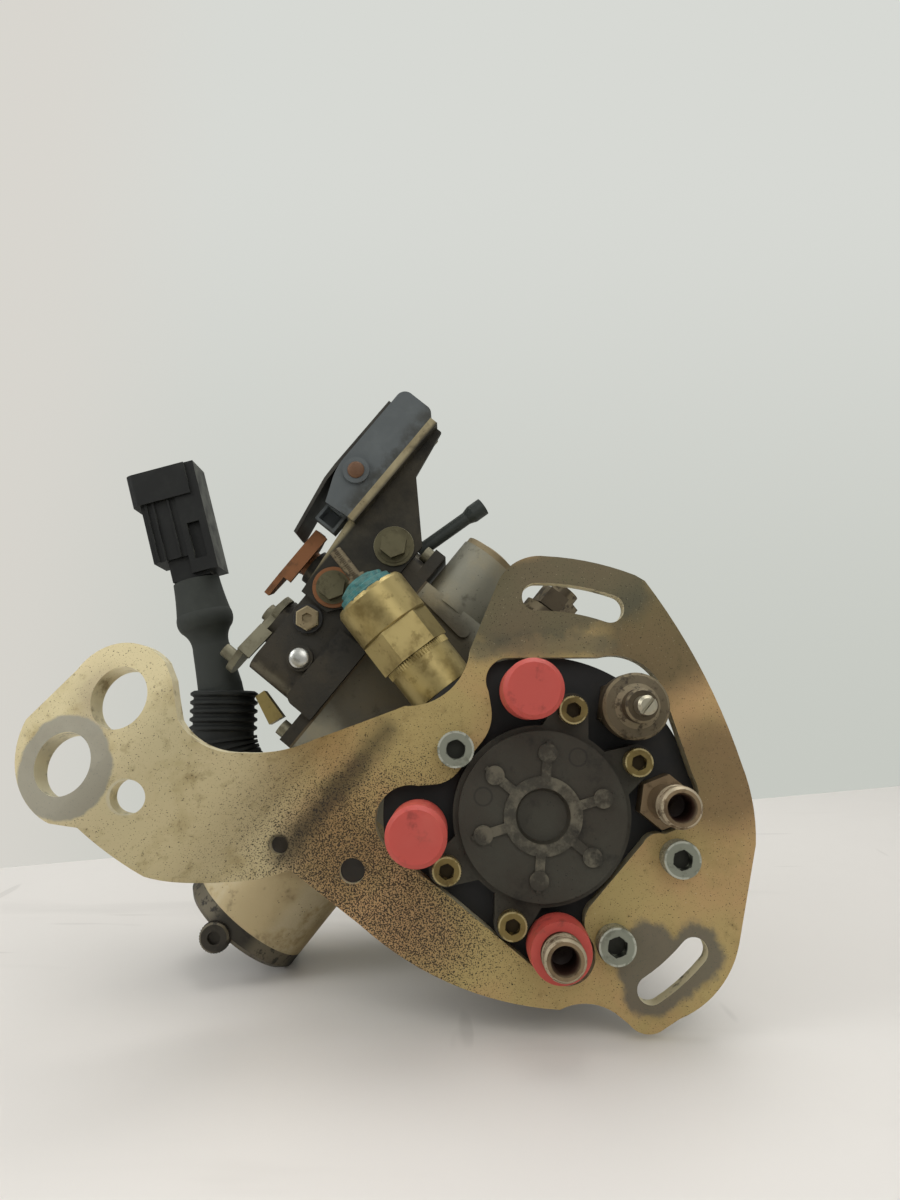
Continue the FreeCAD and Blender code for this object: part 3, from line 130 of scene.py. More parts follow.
class Finish(Board):
    """A material whose patterns lie on the object's own coordinates."""

    def __init__(self, name, metallic=0.0, roughness=0.5):
        self.material = bpy.data.materials.new(name)
        self.material.use_nodes = True
        super().__init__(self.material.node_tree)
        self.shader = self.tree.nodes["Principled BSDF"]
        self.shader.inputs["Metallic"].default_value = metallic
        self.shader.inputs["Roughness"].default_value = roughness
        self.tone = None
        self.place = self.add("ShaderNodeTexCoord", output="Object")
        split = {"Vector": self.place}
        self.x, self.y, self.z = [self.add("ShaderNodeSeparateXYZ", {}, split, axis) for axis in "XYZ"]

    def noise(self, scale, detail=3.0, roughness=0.55, stretch=None):
        place = self.place
        if stretch:
            place = self.add("ShaderNodeMapping", {}, {"Vector": place, "Scale": stretch})
        sockets = {"Vector": place, "Scale": scale, "Detail": detail, "Roughness": roughness}
        return self.add("ShaderNodeTexNoise", {}, sockets, "Fac")

    def pits(self, scale):
        """Distance from the nearest of many scattered points, in cells."""
        return self.add("ShaderNodeTexVoronoi", {}, {"Vector": self.place, "Scale": scale}, "Distance")

    def facing(self):
        """How squarely the surface faces along the pump's axis, 0 to 1."""
        normal = self.add("ShaderNodeTexCoord", output="Normal")
        return abs(self.add("ShaderNodeSeparateXYZ", {}, {"Vector": normal}, "Y"))

    def axis_distance(self, x, z):
        """Distance in metres from a line along the pump's axis."""
        return ((self.x - x) ** 2 + (self.z - z) ** 2) ** 0.5

    def blend(self, mask, under, over):
        sockets = {0: mask, 6: under, 7: over}
        return self.add("ShaderNodeMix", {"data_type": "RGBA"}, sockets, 2)

    def wear(self, colour=None, roughness=None, metallic=None, height=None, depth=0.0001, strength=0.5):
        """Joins the patterns to the shader, and keeps the colour as tone for what is laid over it later.

        The surface seems raised by depth metres where height is 1.
        """
        if colour is not None:
            self.tone = colour
        for name, value in (("Base Color", colour), ("Roughness", roughness), ("Metallic", metallic)):
            if value is not None:
                self.join(value, self.shader.inputs[name])
        if height is not None:
            bump = {"Height": height, "Distance": depth, "Strength": strength}
            self.join(self.add("ShaderNodeBump", {}, bump), self.shader.inputs["Normal"])


table_drop = -0.062
table_slope = 0.125
far_edge_slope = 0.3836
far_edge_start = 0.2023


def on_table(x, y):
    return Vector((x, y, table_drop + table_slope * y))


def far_edge(x):
    return on_table(x, far_edge_start + far_edge_slope * x)


def mesh_piece(name, points, faces, finish):
    """A piece from its corners and faces. It is smooth except over sharp edges."""
    mesh = bpy.data.meshes.new(name)
    mesh.from_pydata([tuple(point) for point in points], [], faces)
    mesh.shade_smooth()
    mesh.set_sharp_from_angle(angle=math.radians(32))
    piece = bpy.data.objects.new(name, mesh)
    bpy.context.scene.collection.objects.link(piece)
    mesh.materials.append(finish.material)
    return piece


laminate = Finish("white_laminate", roughness=0.4)
scratch = laminate.noise(60, 2, 0.5, (0.12, 1, 1)).rise(0.70, 0.74)
cross_scratch = laminate.noise(45, 2, 0.5, (1, 0.1, 1)).rise(0.71, 0.74)
smear = laminate.noise(9, 4, 0.6)
grey_streak = laminate.noise(14, 4, 0.6, (0.25, 1, 1)).rise(0.58, 0.72)
marks = scratch.most(cross_scratch) * 0.16 + grey_streak * 0.10 + smear * 0.05
laminate.wear(laminate.blend(marks, shade(228, 224, 219), shade(126, 122, 116)),
              roughness=0.3 + smear * 0.3)
table_left, table_right, table_front = -1.4, 1.6, -1.2
table_corners = [on_table(table_left, table_front), on_table(table_right, table_front),
                 far_edge(table_right), far_edge(table_left)]
table = mesh_piece("table", table_corners, [(0, 1, 2, 3)], laminate)

wall_distance, wall_reach, wall_foot, wall_top = 0.95, 2.5, -1.2, 2.2
wall_paint = Finish("wall_paint", roughness=0.9)
# The wall is painted paler towards the top and warmer on the left: painted light on a plain wall.
painted_light_by_height = wall_paint.z.rise(-0.1, 1.0)
painted_warm_light_on_left = wall_paint.x.rise(-0.35, -0.75)
wall_tone = wall_paint.blend(painted_light_by_height, shade(198, 201, 194), shade(215, 217, 212))
wall_tone = wall_paint.blend(painted_warm_light_on_left * 0.8, wall_tone, shade(217, 213, 206))
wall_paint.wear(wall_tone)
# Camera rays see this colour, painted light included, as a glow; other rays meet a matt wall.
seen = wall_paint.add("ShaderNodeEmission", {}, {"Color": wall_tone, "Strength": 1.0})
sight = wall_paint.add("ShaderNodeLightPath", output="Is Camera Ray")
lit = Wire(wall_paint, wall_paint.shader.outputs[0])
both = wall_paint.add("ShaderNodeMixShader", {}, {0: sight, 1: lit, 2: seen})
wall_paint.join(both, wall_paint.tree.nodes["Material Output"].inputs["Surface"])
wall_corners = [(-wall_reach, wall_distance, wall_foot), (wall_reach, wall_distance, wall_foot),
                (wall_reach, wall_distance, wall_top), (-wall_reach, wall_distance, wall_top)]
wall = mesh_piece("wall", wall_corners, [(0, 1, 2, 3)], wall_paint)


# Soft light from three square lamps, overhead, on the left and in front.
# A grey room all round, brighter above and at both sides, is what the steel reflects.
def lamp(name, place, target, width, power, tone=(1, 1, 1)):
    light = bpy.data.lights.new(name, "AREA")
    light.shape = "SQUARE"
    light.size = width
    light.energy = power
    light.color = tone
    holder = bpy.data.objects.new(name, light)
    holder.location = place
    holder.rotation_euler = (Vector(target) - Vector(place)).to_track_quat("-Z", "Y").to_euler()
    bpy.context.scene.collection.objects.link(holder)


lamp("overhead", (0.10, 0.00, 0.9), (0, -0.05, 0), 0.6, 3.8, (1.0, 0.99, 0.97))
lamp("left_window", (-0.9, -0.5, 0.55), (0, -0.1, 0), 0.5, 3.0, (0.98, 0.99, 1.0))
lamp("front_fill", (0.25, -1.3, 0.75), (0, -0.1, 0), 0.8, 3.9, (1.0, 0.99, 0.97))

room = bpy.data.worlds.new("room")
bpy.context.scene.world = room
room.use_nodes = True
room_board = Board(room.node_tree)
direction = room_board.add("ShaderNodeTexCoord", output="Generated")
to_side, to_top = [room_board.add("ShaderNodeSeparateXYZ", {}, {"Vector": direction}, axis) for axis in "XZ"]
brightness = 0.30 + to_top.rise(-0.2, 0.9) * 0.30 + abs(to_side).rise(0.25, 0.95) * 0.22
room_board.join(brightness, room.node_tree.nodes["Background"].inputs["Strength"])
room_board.join((0.97, 0.98, 0.97, 1), room.node_tree.nodes["Background"].inputs["Color"])


# The cast housing: sand-coloured aluminium, stained by oil. Nothing of it was painted.
# The pump's own frame is rolled about its axis, and this section holds it.
MM = 0.001
roll = math.radians(51)
own_side = Vector((math.cos(roll), 0, math.sin(roll)))
own_up = Vector((-math.sin(roll), 0, math.cos(roll)))
own_back = Vector((0, -1, 0))


def across(side, up, station):
    """A point on the pump: to its side, above its axis and behind the mounting face, in millimetres."""
    return (own_side * side + own_up * up + own_back * station) * MM


def dress(finish, *nodes):
    for node in nodes:
        mesh = frame["nodes"][node].data
        mesh.materials.clear()
        mesh.materials.append(finish.material)


def cast_metal(name, base, stain, dark, metallic=0.45, grain=900, rub_and_highlight=None):
    """Cast or sheet metal with oil stains and pits. Its slanting edges are worn to the colour rub, also a
    painted highlight.
    """
    finish = Finish(name, metallic=metallic)
    cloud = finish.noise(28, 5, 0.6)
    patch = finish.noise(85, 4, 0.65)
    tone = finish.blend(cloud.rise(0.38, 0.66), base, stain)
    tone = finish.blend(patch.rise(0.55, 0.72) * 0.7, tone, dark)
    if rub_and_highlight:
        facing = finish.facing()
        slant = facing.rise(0.35, 0.6) * facing.rise(0.97, 0.85)
        tone = finish.blend(slant * patch.rise(0.62, 0.45) * 0.7, tone, rub_and_highlight)
    pit = finish.pits(700).rise(0.22, 0.08) * finish.noise(120, 2).rise(0.5, 0.62)
    tone = finish.blend(pit * 0.8, tone, shade(30, 27, 20))
    grainy = finish.noise(grain, 3, 0.6)
    finish.wear(tone, roughness=0.45 + patch * 0.3, height=grainy - pit * 0.8, depth=0.0002, strength=0.6)
    return finish


sand_cast = cast_metal("sand_cast_aluminium", shade(138, 136, 121), shade(158, 146, 115), shade(62, 57, 45))
# Round the solenoid's foot the housing is painted dark, with a ragged edge: painted shade under the
# solenoid.
shade_border = (sand_cast.noise(55, 4, 0.62) - 0.5) * 0.014
shade_under_solenoid = (sand_cast.axis_distance(-0.052, 0.052) + shade_border).rise(0.040, 0.028)
sand_cast.wear(sand_cast.blend(shade_under_solenoid * 0.8, sand_cast.tone, shade(62, 54, 39)))
dress(sand_cast, "pump_housing")
oiled_paper = cast_metal("oiled_paper", shade(92, 78, 52), shade(60, 50, 34), shade(30, 26, 20), 0.0)
dress(oiled_paper, "cover_gasket")


# The governor cover is a pressure casting, dark with oil and soot. Its steps and bosses are rubbed paler.
# Two screws stand on its rear face: a chromed dome, and a tan bolt in a black sealing ring.
# The cover's slanting edges are paler: wear, and a painted highlight.
dark_cast = cast_metal("sooty_casting", shade(44, 41, 33), shade(62, 55, 41), shade(16, 14, 11), 0.25,
                       rub_and_highlight=shade(104, 97, 78))
dress(dark_cast, "governor_cover")


def standing(point, direction):
    """The matrix that puts a piece's foot on the point and turns its Z axis to the direction."""
    return Matrix.Translation(point) @ direction.to_track_quat("Z", "X").to_matrix().to_4x4()


def turned(name, profile, place, finish, corners=40, body="pump"):
    """A solid turned from pairs of radius and height in millimetres. Six corners make a hexagon.

    A profile that ends where it starts makes a ring, and any other is closed by a flat face at each end.
    """
    points, faces = [], []
    for radius, height in profile:
        for corner in range(corners):
            angle = 2 * math.pi * corner / corners
            point = Vector((radius * math.cos(angle), radius * math.sin(angle), height)) * MM
            points.append(place @ point)
    rows = len(profile)
    for row in range(rows - 1):
        for corner in range(corners):
            after = (corner + 1) % corners
            low, high = row * corners, (row + 1) * corners
            faces.append((low + corner, low + after, high + after, high + corner))
    if profile[0] != profile[-1]:
        faces.append(tuple(range(corners))[::-1])
        faces.append(tuple(range((rows - 1) * corners, rows * corners)))
    piece = mesh_piece(name, points, faces, finish)
    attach(piece, body)


def dome(radius, height, rise):
    """The profile of a round head: its side, then a low dome."""
    tilts = [math.radians(tilt) for tilt in range(0, 88, 11)]
    arc = [(radius * math.cos(tilt), height + rise * math.sin(tilt)) for tilt in tilts]
    return [(radius * 0.96, 0)] + arc


def ring(inner, outer, height):
    """The profile of a flat ring with eased edges. It starts and ends at the same corner."""
    ease = 0.15 * height
    return [(inner, 0), (outer - ease, 0), (outer, ease), (outer, height - ease), (outer - ease, height),
            (inner, height), (inner, 0)]


chrome = Finish("spotted_chrome", metallic=0.95)
bloom = chrome.noise(420, 3, 0.6)
chrome.wear(chrome.blend(bloom.rise(0.5, 0.7) * 0.6, shade(196, 196, 190), shade(120, 116, 104)),
            roughness=0.22 + bloom * 0.25)
panel_face = 91.0
turned("cover_dome_screw", dome(4.3, 0.8, 1.6), standing(across(-13.5, 110.5, panel_face), own_back), chrome)
tan_bolt = cast_metal("tan_bolt", shade(142, 128, 98), shade(112, 98, 72), shade(60, 52, 38), 0.5,
                      rub_and_highlight=shade(176, 162, 128))
bolt_profile = [(5.2, 0), (5.2, 2.4), (4.6, 2.9), (2.2, 2.9), (2.0, 1.6), (0.3, 1.6)]
bolt_side, bolt_up = 1, 118.4
turned("cover_bolt_head", bolt_profile, standing(across(bolt_side, bolt_up, 90.6), own_back), tan_bolt, 6)
black_ring = cast_metal("black_sealing_ring", shade(26, 25, 23), shade(40, 38, 33), shade(14, 13, 12), 0.0)
turned("cover_bolt_ring", ring(4.4, 6.1, 1.2), standing(across(bolt_side, bolt_up, 89.4), own_back),
       black_ring)


# Steel inside the pump, turned and ground: shaft, governor, cam ring, rotor and plungers, all oily.
# The screws that hold the cover are steel too, plated with zinc that has gone dull.
def turned_steel(name, base, dirt, roughness=0.28, metallic=0.95, rub_and_highlight=None):
    finish = Finish(name, metallic=metallic)
    film = finish.noise(70, 4, 0.6)
    grime = finish.noise(240, 4, 0.65)
    rings = finish.noise(400, 2, 0.5, (1, 6, 1))
    tone = finish.blend(film.rise(0.45, 0.7) * 0.7, base, dirt)
    tone = finish.blend(grime.rise(0.54, 0.7) * 0.5, tone, dirt)
    # Slanting faces are paler: wear, and a painted highlight.
    if rub_and_highlight:
        facing = finish.facing()
        slant = facing.rise(0.2, 0.5) * facing.rise(0.98, 0.9)
        tone = finish.blend(slant * grime.rise(0.62, 0.5) * 0.8, tone, rub_and_highlight)
    finish.wear(tone, roughness=roughness + film * 0.25, height=rings, depth=0.00003, strength=0.3)
    return finish


ground_steel = turned_steel("ground_steel", shade(168, 168, 166), shade(110, 100, 82))
dress(ground_steel, "drive_shaft", "shaft_key", "weight_cage", "governor_weight_1", "governor_weight_2",
      "thrust_sleeve", "cam_ring", "advance_piston", "rotor", "plunger_1", "plunger_2", "metering_valve",
      "solenoid_plunger", "shaft_bearing")
bright_zinc = turned_steel("bright_zinc", shade(124, 120, 100), shade(72, 66, 50), 0.4, 0.7)
dress(bright_zinc, "cover_screw_1", "cover_screw_2", "cover_screw_3", "cover_screw_4")


# The hydraulic head is turned from steel, blackened and oily.
# It closes the rear of the pump, and the unions, the end plate and the bracket are fixed to it.
black_head = Finish("blackened_steel", metallic=0.2)
smudge = black_head.noise(45, 4, 0.6)
black_head.wear(black_head.blend(smudge.rise(0.5, 0.75) * 0.6, shade(19, 18, 17), shade(46, 42, 34)),
                roughness=0.4 + smudge * 0.3, height=black_head.noise(1500, 2), depth=0.00004, strength=0.4)
dress(black_head, "hydraulic_head")


# The end plate is a dark zinc die casting, dull, with oil dried in its corners and its edges rubbed pale.
# Ejector pins left two faint circles on it. Four M6 socket screws with knurled heads hold it down.
# The plate's slanting edges are paler: wear, and a painted highlight.
die_cast = cast_metal("dull_die_casting", shade(60, 58, 48), shade(54, 49, 39), shade(30, 27, 21), 0.3, 700,
                      rub_and_highlight=shade(118, 112, 92))
upper_ejector, left_ejector = die_cast.axis_distance(0.0128, 0.0206), die_cast.axis_distance(-0.0212, 0.0068)
ejector_mark = upper_ejector.least(left_ejector)
thin_circle = ejector_mark.rise(0.0026, 0.0030) * ejector_mark.rise(0.0037, 0.0033)
# Raised faces are paler in patches: wear, and a painted highlight.
raised = die_cast.y.rise(-0.1328, -0.1334) * die_cast.noise(130, 4, 0.65).rise(0.40, 0.62)
marked = die_cast.blend(thin_circle * 0.5, die_cast.tone, shade(26, 23, 18))
die_cast.wear(die_cast.blend(raised * 0.55, marked, shade(120, 114, 96)))
dress(die_cast, "end_plate")


class Grower(Board):
    """A tree of geometry nodes. What it makes depends only on its named inputs."""

    def __init__(self, name, **kinds):
        super().__init__(bpy.data.node_groups.new(name, "GeometryNodeTree"))
        for label, kind in {**kinds, "Material": "NodeSocketMaterial"}.items():
            self.tree.interface.new_socket(label, in_out="INPUT", socket_type=kind)
        self.tree.interface.new_socket("Geometry", in_out="OUTPUT", socket_type="NodeSocketGeometry")
        given = self.tree.nodes.new("NodeGroupInput")
        self.given = {label: Wire(self, given.outputs[label]) for label in (*kinds, "Material")}
        self.result = self.tree.nodes.new("NodeGroupOutput")

    def close(self, geometry):
        """Ends the tree: the geometry is made real and gets its material."""
        real = self.add("GeometryNodeRealizeInstances", {}, {"Geometry": geometry})
        colouring = {"Geometry": real, "Material": self.given["Material"]}
        painted = self.add("GeometryNodeSetMaterial", {}, colouring)
        self.join(painted, self.result.inputs["Geometry"])

    def grow(self, name, place, finish, body="pump", **values):
        """A plain mesh from the tree, put in place by the matrix, riding the body."""
        host = bpy.data.objects.new(name + "_host", bpy.data.meshes.new(name + "_host"))
        bpy.context.scene.collection.objects.link(host)
        modifier = host.modifiers.new("grower", "NODES")
        modifier.node_group = self.tree
        for socket in self.tree.interface.items_tree:
            if socket.in_out == "INPUT":
                modifier[socket.identifier] = {**values, "Material": finish.material}[socket.name]
        grown = host.evaluated_get(bpy.context.evaluated_depsgraph_get())
        mesh = bpy.data.meshes.new_from_object(grown)
        mesh.transform(place)
        bpy.data.objects.remove(host)
        piece = bpy.data.objects.new(name, mesh)
        bpy.context.scene.collection.objects.link(piece)
        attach(piece, body)


knurl = Grower("knurl", Ridges="NodeSocketInt", Radius="NodeSocketFloat", Height="NodeSocketFloat",
               Depth="NodeSocketFloat")
circle = knurl.add("GeometryNodeCurvePrimitiveCircle", {}, {
    "Resolution": knurl.given["Ridges"], "Radius": knurl.given["Radius"]})
ridge = knurl.add("GeometryNodeMeshCylinder", {}, {
    "Vertices": 4, "Radius": knurl.given["Depth"], "Depth": knurl.given["Height"]})
tangent = knurl.add("GeometryNodeInputTangent")
turn = knurl.add("FunctionNodeAlignRotationToVector", {"axis": "X"}, {"Vector": tangent})
knurl.close(knurl.add("GeometryNodeInstanceOnPoints", {}, {
    "Points": circle, "Instance": ridge, "Rotation": turn}))


def knurled_head(name, node, height, finish, ridges, rim=0.6):
    """Ridges round the head of a socket screw that stands on the pump's rear."""
    low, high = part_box(node)
    radius = (high[0] - low[0]) / 2
    middle = Vector(((low[0] + high[0]) / 2, low[1] + (rim + height / 2) * MM, (low[2] + high[2]) / 2))
    knurl.grow(name, standing(middle, own_back), finish, Ridges=ridges, Radius=radius, Height=height * MM,
               Depth=0.22 * MM)


def socket_finish(name, base, dirt, rim_tone, hollow_dirt_and_shade, screws, head):
    """Steel screws: a bright worn rim, a socket dark with dirt and painted shade, round the axes of these
    nodes.
    """
    finish = turned_steel(name, base, dirt, 0.35, 0.8)
    nearest = None
    for node in screws:
        low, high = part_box(node)
        distance = finish.axis_distance((low[0] + high[0]) / 2, (low[2] + high[2]) / 2)
        nearest = nearest.least(distance) if nearest else distance
    worn = nearest.rise(head * 0.86 * MM, head * 0.93 * MM) * finish.noise(300, 3).rise(0.40, 0.54)
    tone = finish.blend(worn * 0.8, finish.tone, rim_tone)
    # The socket is painted nearly black: dirt and painted shade in the recess.
    finish.wear(finish.blend(nearest.rise(head * 0.55 * MM, head * 0.49 * MM) * 0.92, tone, hollow_dirt_and_shade))
    return finish


plate_screws = [f"end_plate_screw_{number}" for number in (1, 2, 3, 4)]
m6_head, m6_ridges = 5.0, 36
yellow_screw = socket_finish("yellow_screw", shade(128, 112, 68), shade(74, 60, 36), shade(186, 172, 126),
                             shade(40, 31, 20), plate_screws, m6_head)
dress(yellow_screw, *plate_screws)
for number, node in enumerate(plate_screws, 1):
    knurled_head(f"plate_screw_knurl_{number}", node, 4.2, yellow_screw, m6_ridges)


# The rear bracket is 7 mm sheet steel, cut, bent twice and plated with yellow zinc that has gone patchy.
# Washers rubbed both slots and one ear bore grey, and rust specks cover the plate left of the opening.
# Three M8 socket screws with knurled heads hold it to the head.
plating = Finish("patchy_yellow_zinc", metallic=0.45)
broad = plating.noise(16, 4, 0.6)
middle = plating.noise(55, 4, 0.62)
small = plating.noise(160, 4, 0.65)
fine = plating.noise(420, 3, 0.65)
ragged = (middle - 0.5) * 0.010 + (small - 0.5) * 0.006


def from_line(start, end):
    """Distance in metres from a straight line between two points, seen along the pump's axis."""
    (x1, z1), (x2, z2) = start, end
    length = math.hypot(x2 - x1, z2 - z1)
    ux, uz = (x2 - x1) / length, (z2 - z1) / length
    along = ((plating.x - x1) * ux + (plating.z - z1) * uz).most(0).least(length)
    return ((plating.x - x1 - along * ux) ** 2 + (plating.z - z1 - along * uz) ** 2) ** 0.5


def stain(distance, reach, soft):
    """1 within reach, 0 outside, with a ragged border that is twice soft wide."""
    return (distance + ragged).rise(reach + soft, reach - soft)


def stained(tone, stains):
    """The tone with each stain laid over the ones before it: where it lies, how thickly, and its colour."""
    for mask, strength, colour in stains:
        tone = plating.blend(mask * strength, tone, colour)
    return tone


# The bent arm is painted paler than the plate: painted light on the arm.
painted_light_on_arm = plating.x.rise(-0.072, -0.105)
right_rim = stain(plating.axis_distance(0.064, 0.014), 0.020, 0.007)
upper_right = stain(plating.axis_distance(0.044, 0.064), 0.021, 0.007)
above_opening = stain(from_line((-0.022, 0.0600), (0.022, 0.0615)), 0.0045, 0.003)
round_upper_slot = stain(from_line((-0.016, 0.0760), (0.026, 0.0850)), 0.0160, 0.004)
left_of_opening = stain(plating.axis_distance(-0.074, -0.012), 0.016, 0.008)
below_opening = stain(plating.axis_distance(-0.042, -0.040), 0.016, 0.008)
ear_tip = stain(plating.axis_distance(-0.150, 0.040), 0.010, 0.006)
tone = stained(plating.blend(broad.rise(0.40, 0.62), shade(172, 153, 100), shade(184, 150, 104)), (
    (painted_light_on_arm, 0.85, shade(196, 184, 146)),
    (middle.rise(0.50, 0.72), 0.5, shade(148, 130, 82)),
    (small.rise(0.55, 0.72), 0.4, shade(122, 104, 62)),
    (right_rim, 0.75, shade(112, 92, 62)),
    (upper_right, 0.8, shade(84, 77, 52)),
    (above_opening, 0.7, shade(92, 90, 72)),
    (round_upper_slot, 0.85, shade(80, 79, 62)),
    (left_of_opening, 0.6, shade(134, 110, 66)),
    (below_opening, 0.5, shade(150, 120, 80)),
    (ear_tip, 0.6, shade(142, 128, 102))))

speckled = (plating.axis_distance(-0.060, -0.028) + ragged * 2).rise(0.070, 0.018)
specks = (plating.noise(1900, 3, 0.6) + speckled * 0.15).rise(0.635, 0.665)
flecks = (plating.noise(640, 3, 0.7) + speckled * 0.05).rise(0.665, 0.70)
glints = plating.noise(1300, 2, 0.6).rise(0.70, 0.74)
# A dark band along the bend is dirt and painted shade in its crease.
bend_dirt_and_shade = stain(from_line((-0.0560, 0.0300), (-0.0930, -0.0140)), 0.0042, 0.0040)
slot_wear = (from_line((0.0376, -0.0602), (0.0530, -0.0472)) + ragged).rise(0.0116, 0.0082)
washer_wear = (plating.axis_distance(0.038, -0.050) + ragged).rise(0.0146, 0.0112)
rubbed = slot_wear.most(washer_wear)
mounts = {mount["name"]: mount["pos_m"] for mount in frame["record"]["mounts"]}
ear_x, _, ear_z = mounts["ear_bore_outer"]
ear_ring = (plating.axis_distance(ear_x, ear_z) + ragged * 0.4).rise(0.0180, 0.0168)
small_bore_rim = plating.axis_distance(-0.1390, 0.0087).rise(0.0064, 0.0056)
# Round and in two holes the sheet is painted near black: painted shade at the holes.
hole_rim_shade = plating.axis_distance(-0.0943, -0.0100).least(plating.axis_distance(-0.0676, -0.0196))
# The sheet's edge faces are painted pale cream in patches: a painted highlight along the edges.
painted_edge_highlight = plating.facing().rise(0.42, 0.25) * small.rise(0.70, 0.52)
tone = stained(tone, (
    (specks, 0.92, shade(20, 14, 7)),
    (flecks, 0.7, shade(48, 39, 24)),
    (glints, 0.35, shade(196, 186, 152)),
    (bend_dirt_and_shade, 0.75, shade(46, 40, 28)),
    (rubbed, 0.85, shade(96, 93, 84)),
    (ear_ring, 0.85, shade(136, 133, 121)),
    (small_bore_rim, 0.7, shade(190, 182, 156)),
    (hole_rim_shade.rise(0.0042, 0.0030), 0.75, shade(30, 25, 17)),
    (painted_edge_highlight, 0.8, shade(238, 228, 192))))
plating.wear(tone, roughness=0.40 + middle * 0.2 + specks * 0.2 + rubbed * 0.1,
             metallic=0.45 - specks * 0.35, height=fine * 0.5 + small * 0.3 - specks * 0.8, depth=0.00012,
             strength=0.6)
dress(plating, "rear_bracket")

# Dark discs fill two of the bracket's holes: painted shade where the holes look into shadow.
hole_shade = cast_metal("dark_in_the_holes", shade(34, 29, 21), shade(48, 40, 28), shade(16, 13, 9), 0.1)
hole_x, _, hole_z = mounts["bracket_hole"]
hole_foot = -0.1230
dark_holes = (hole_x, hole_z, 4.45), (-0.09416, -0.01061, 3.15)
for number, (x, z, radius) in enumerate(dark_holes, 1):
    turned(f"bracket_hole_shade_disc_{number}", [(radius, 0), (radius, 2.0), (radius * 0.7, 1.6), (0.2, 1.6)],
           standing(Vector((x, hole_foot, z)), own_back), hole_shade)

bracket_screws = [f"bracket_bolt_{number}" for number in (1, 2, 3)]
m8_head, m8_ridges = 6.5, 44
grey_bolt = socket_finish("grey_bolt", shade(138, 141, 127), shade(92, 92, 79), shade(190, 192, 178),
                          shade(34, 33, 29), bracket_screws, m8_head)
dress(grey_bolt, *bracket_screws)
for number, node in enumerate(bracket_screws, 1):
    knurled_head(f"bracket_screw_knurl_{number}", node, 5.6, grey_bolt, m8_ridges, 0.8)


# Outlet unions: turned steel, brown with dried fuel and rusty inside. The two open ones show an M14 thread.
# Two have a soft red transit cap, and the third keeps only the torn ring of its cap.
union_axes = {}
for number in (1, 2, 3, 4):
    low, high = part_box(f"outlet_union_{number}")
    union_axes[number] = ((low[0] + high[0]) / 2, (low[2] + high[2]) / 2)
union_steel = turned_steel("stained_union_steel", shade(132, 113, 86), shade(66, 50, 32), 0.42, 0.55,
                           rub_and_highlight=shade(184, 172, 146))
bore_distance = union_steel.axis_distance(*union_axes[1])
for number in (2, 3, 4):
    bore_distance = bore_distance.least(union_steel.axis_distance(*union_axes[number]))
rusty = bore_distance.rise(0.0051, 0.0044) * union_steel.y.rise(-0.132, -0.140)
union_steel.wear(union_steel.blend(rusty * 0.95, union_steel.tone, shade(46, 20, 12)),
                 metallic=0.6 - rusty * 0.6)
dress(union_steel, "outlet_union_1", "outlet_union_2", "outlet_union_3", "outlet_union_4")

thread = Grower("thread", Turns="NodeSocketFloat", Radius="NodeSocketFloat", Length="NodeSocketFloat",
                Depth="NodeSocketFloat")
helix = thread.add("GeometryNodeCurveSpiral", {}, {
    "Resolution": 40, "Rotations": thread.given["Turns"], "Start Radius": thread.given["Radius"],
    "End Radius": thread.given["Radius"], "Height": thread.given["Length"]})
ridge_profile = thread.add("GeometryNodeCurvePrimitiveCircle", {}, {
    "Resolution": 4, "Radius": thread.given["Depth"]})
thread.close(thread.add("GeometryNodeCurveToMesh", {}, {
    "Curve": helix, "Profile Curve": ridge_profile, "Fill Caps": True}))


def threaded(name, foot, direction, radius, length, pitch, finish):
    """A thread's ridge on a shaft, from its foot along the direction. Sizes are in millimetres."""
    thread.grow(name, standing(foot, direction), finish, Turns=length / pitch, Radius=radius * MM,
                Length=length * MM, Depth=pitch * 0.36 * MM)


thread_foot = -0.1446
thread_radius, thread_length, thread_pitch = 6.75, 8.4, 1.5
for number in (3, 4):
    union_x, union_z = union_axes[number]
    threaded(f"union_{number}_thread", Vector((union_x, thread_foot, union_z)), own_back, thread_radius,
             thread_length, thread_pitch, union_steel)

red_cap = Finish("soft_red_plastic", roughness=0.42)
scuff = red_cap.noise(120, 4, 0.7)
bleached = red_cap.noise(34, 3, 0.6)
cap_tone = red_cap.blend(scuff.rise(0.54, 0.72) * 0.6, shade(184, 72, 62), shade(116, 44, 36))
cap_tone = red_cap.blend(bleached.rise(0.5, 0.7) * 0.4, cap_tone, shade(198, 100, 86))
oily = red_cap.noise(70, 4, 0.7).rise(0.56, 0.68) * red_cap.z.rise(0.02, -0.03)
red_cap.wear(red_cap.blend(oily * 0.6, cap_tone, shade(92, 60, 46)), roughness=0.42 + scuff * 0.25,
             height=scuff, depth=0.00015, strength=0.4)
red_cap.shader.inputs["Subsurface Weight"].default_value = 0.05
dress(red_cap, "outlet_cap_top", "outlet_cap_left", "outlet_collar")


# The pressure regulator on the head's upper right is turned steel stained brown, as is the inlet union.
# Its slotted adjuster is bright. The terminal's stud has the brown steel too.
regulator_steel = turned_steel("stained_regulator_steel", shade(76, 65, 46), shade(36, 29, 18), 0.5, 0.35,
                               rub_and_highlight=shade(128, 116, 90))
dress(regulator_steel, "regulator_body", "inlet_union", "terminal_stud")
bright_adjuster = turned_steel("bright_adjuster", shade(168, 162, 142), shade(110, 98, 70), 0.3, 0.9)
dress(bright_adjuster, "regulator_adjuster")


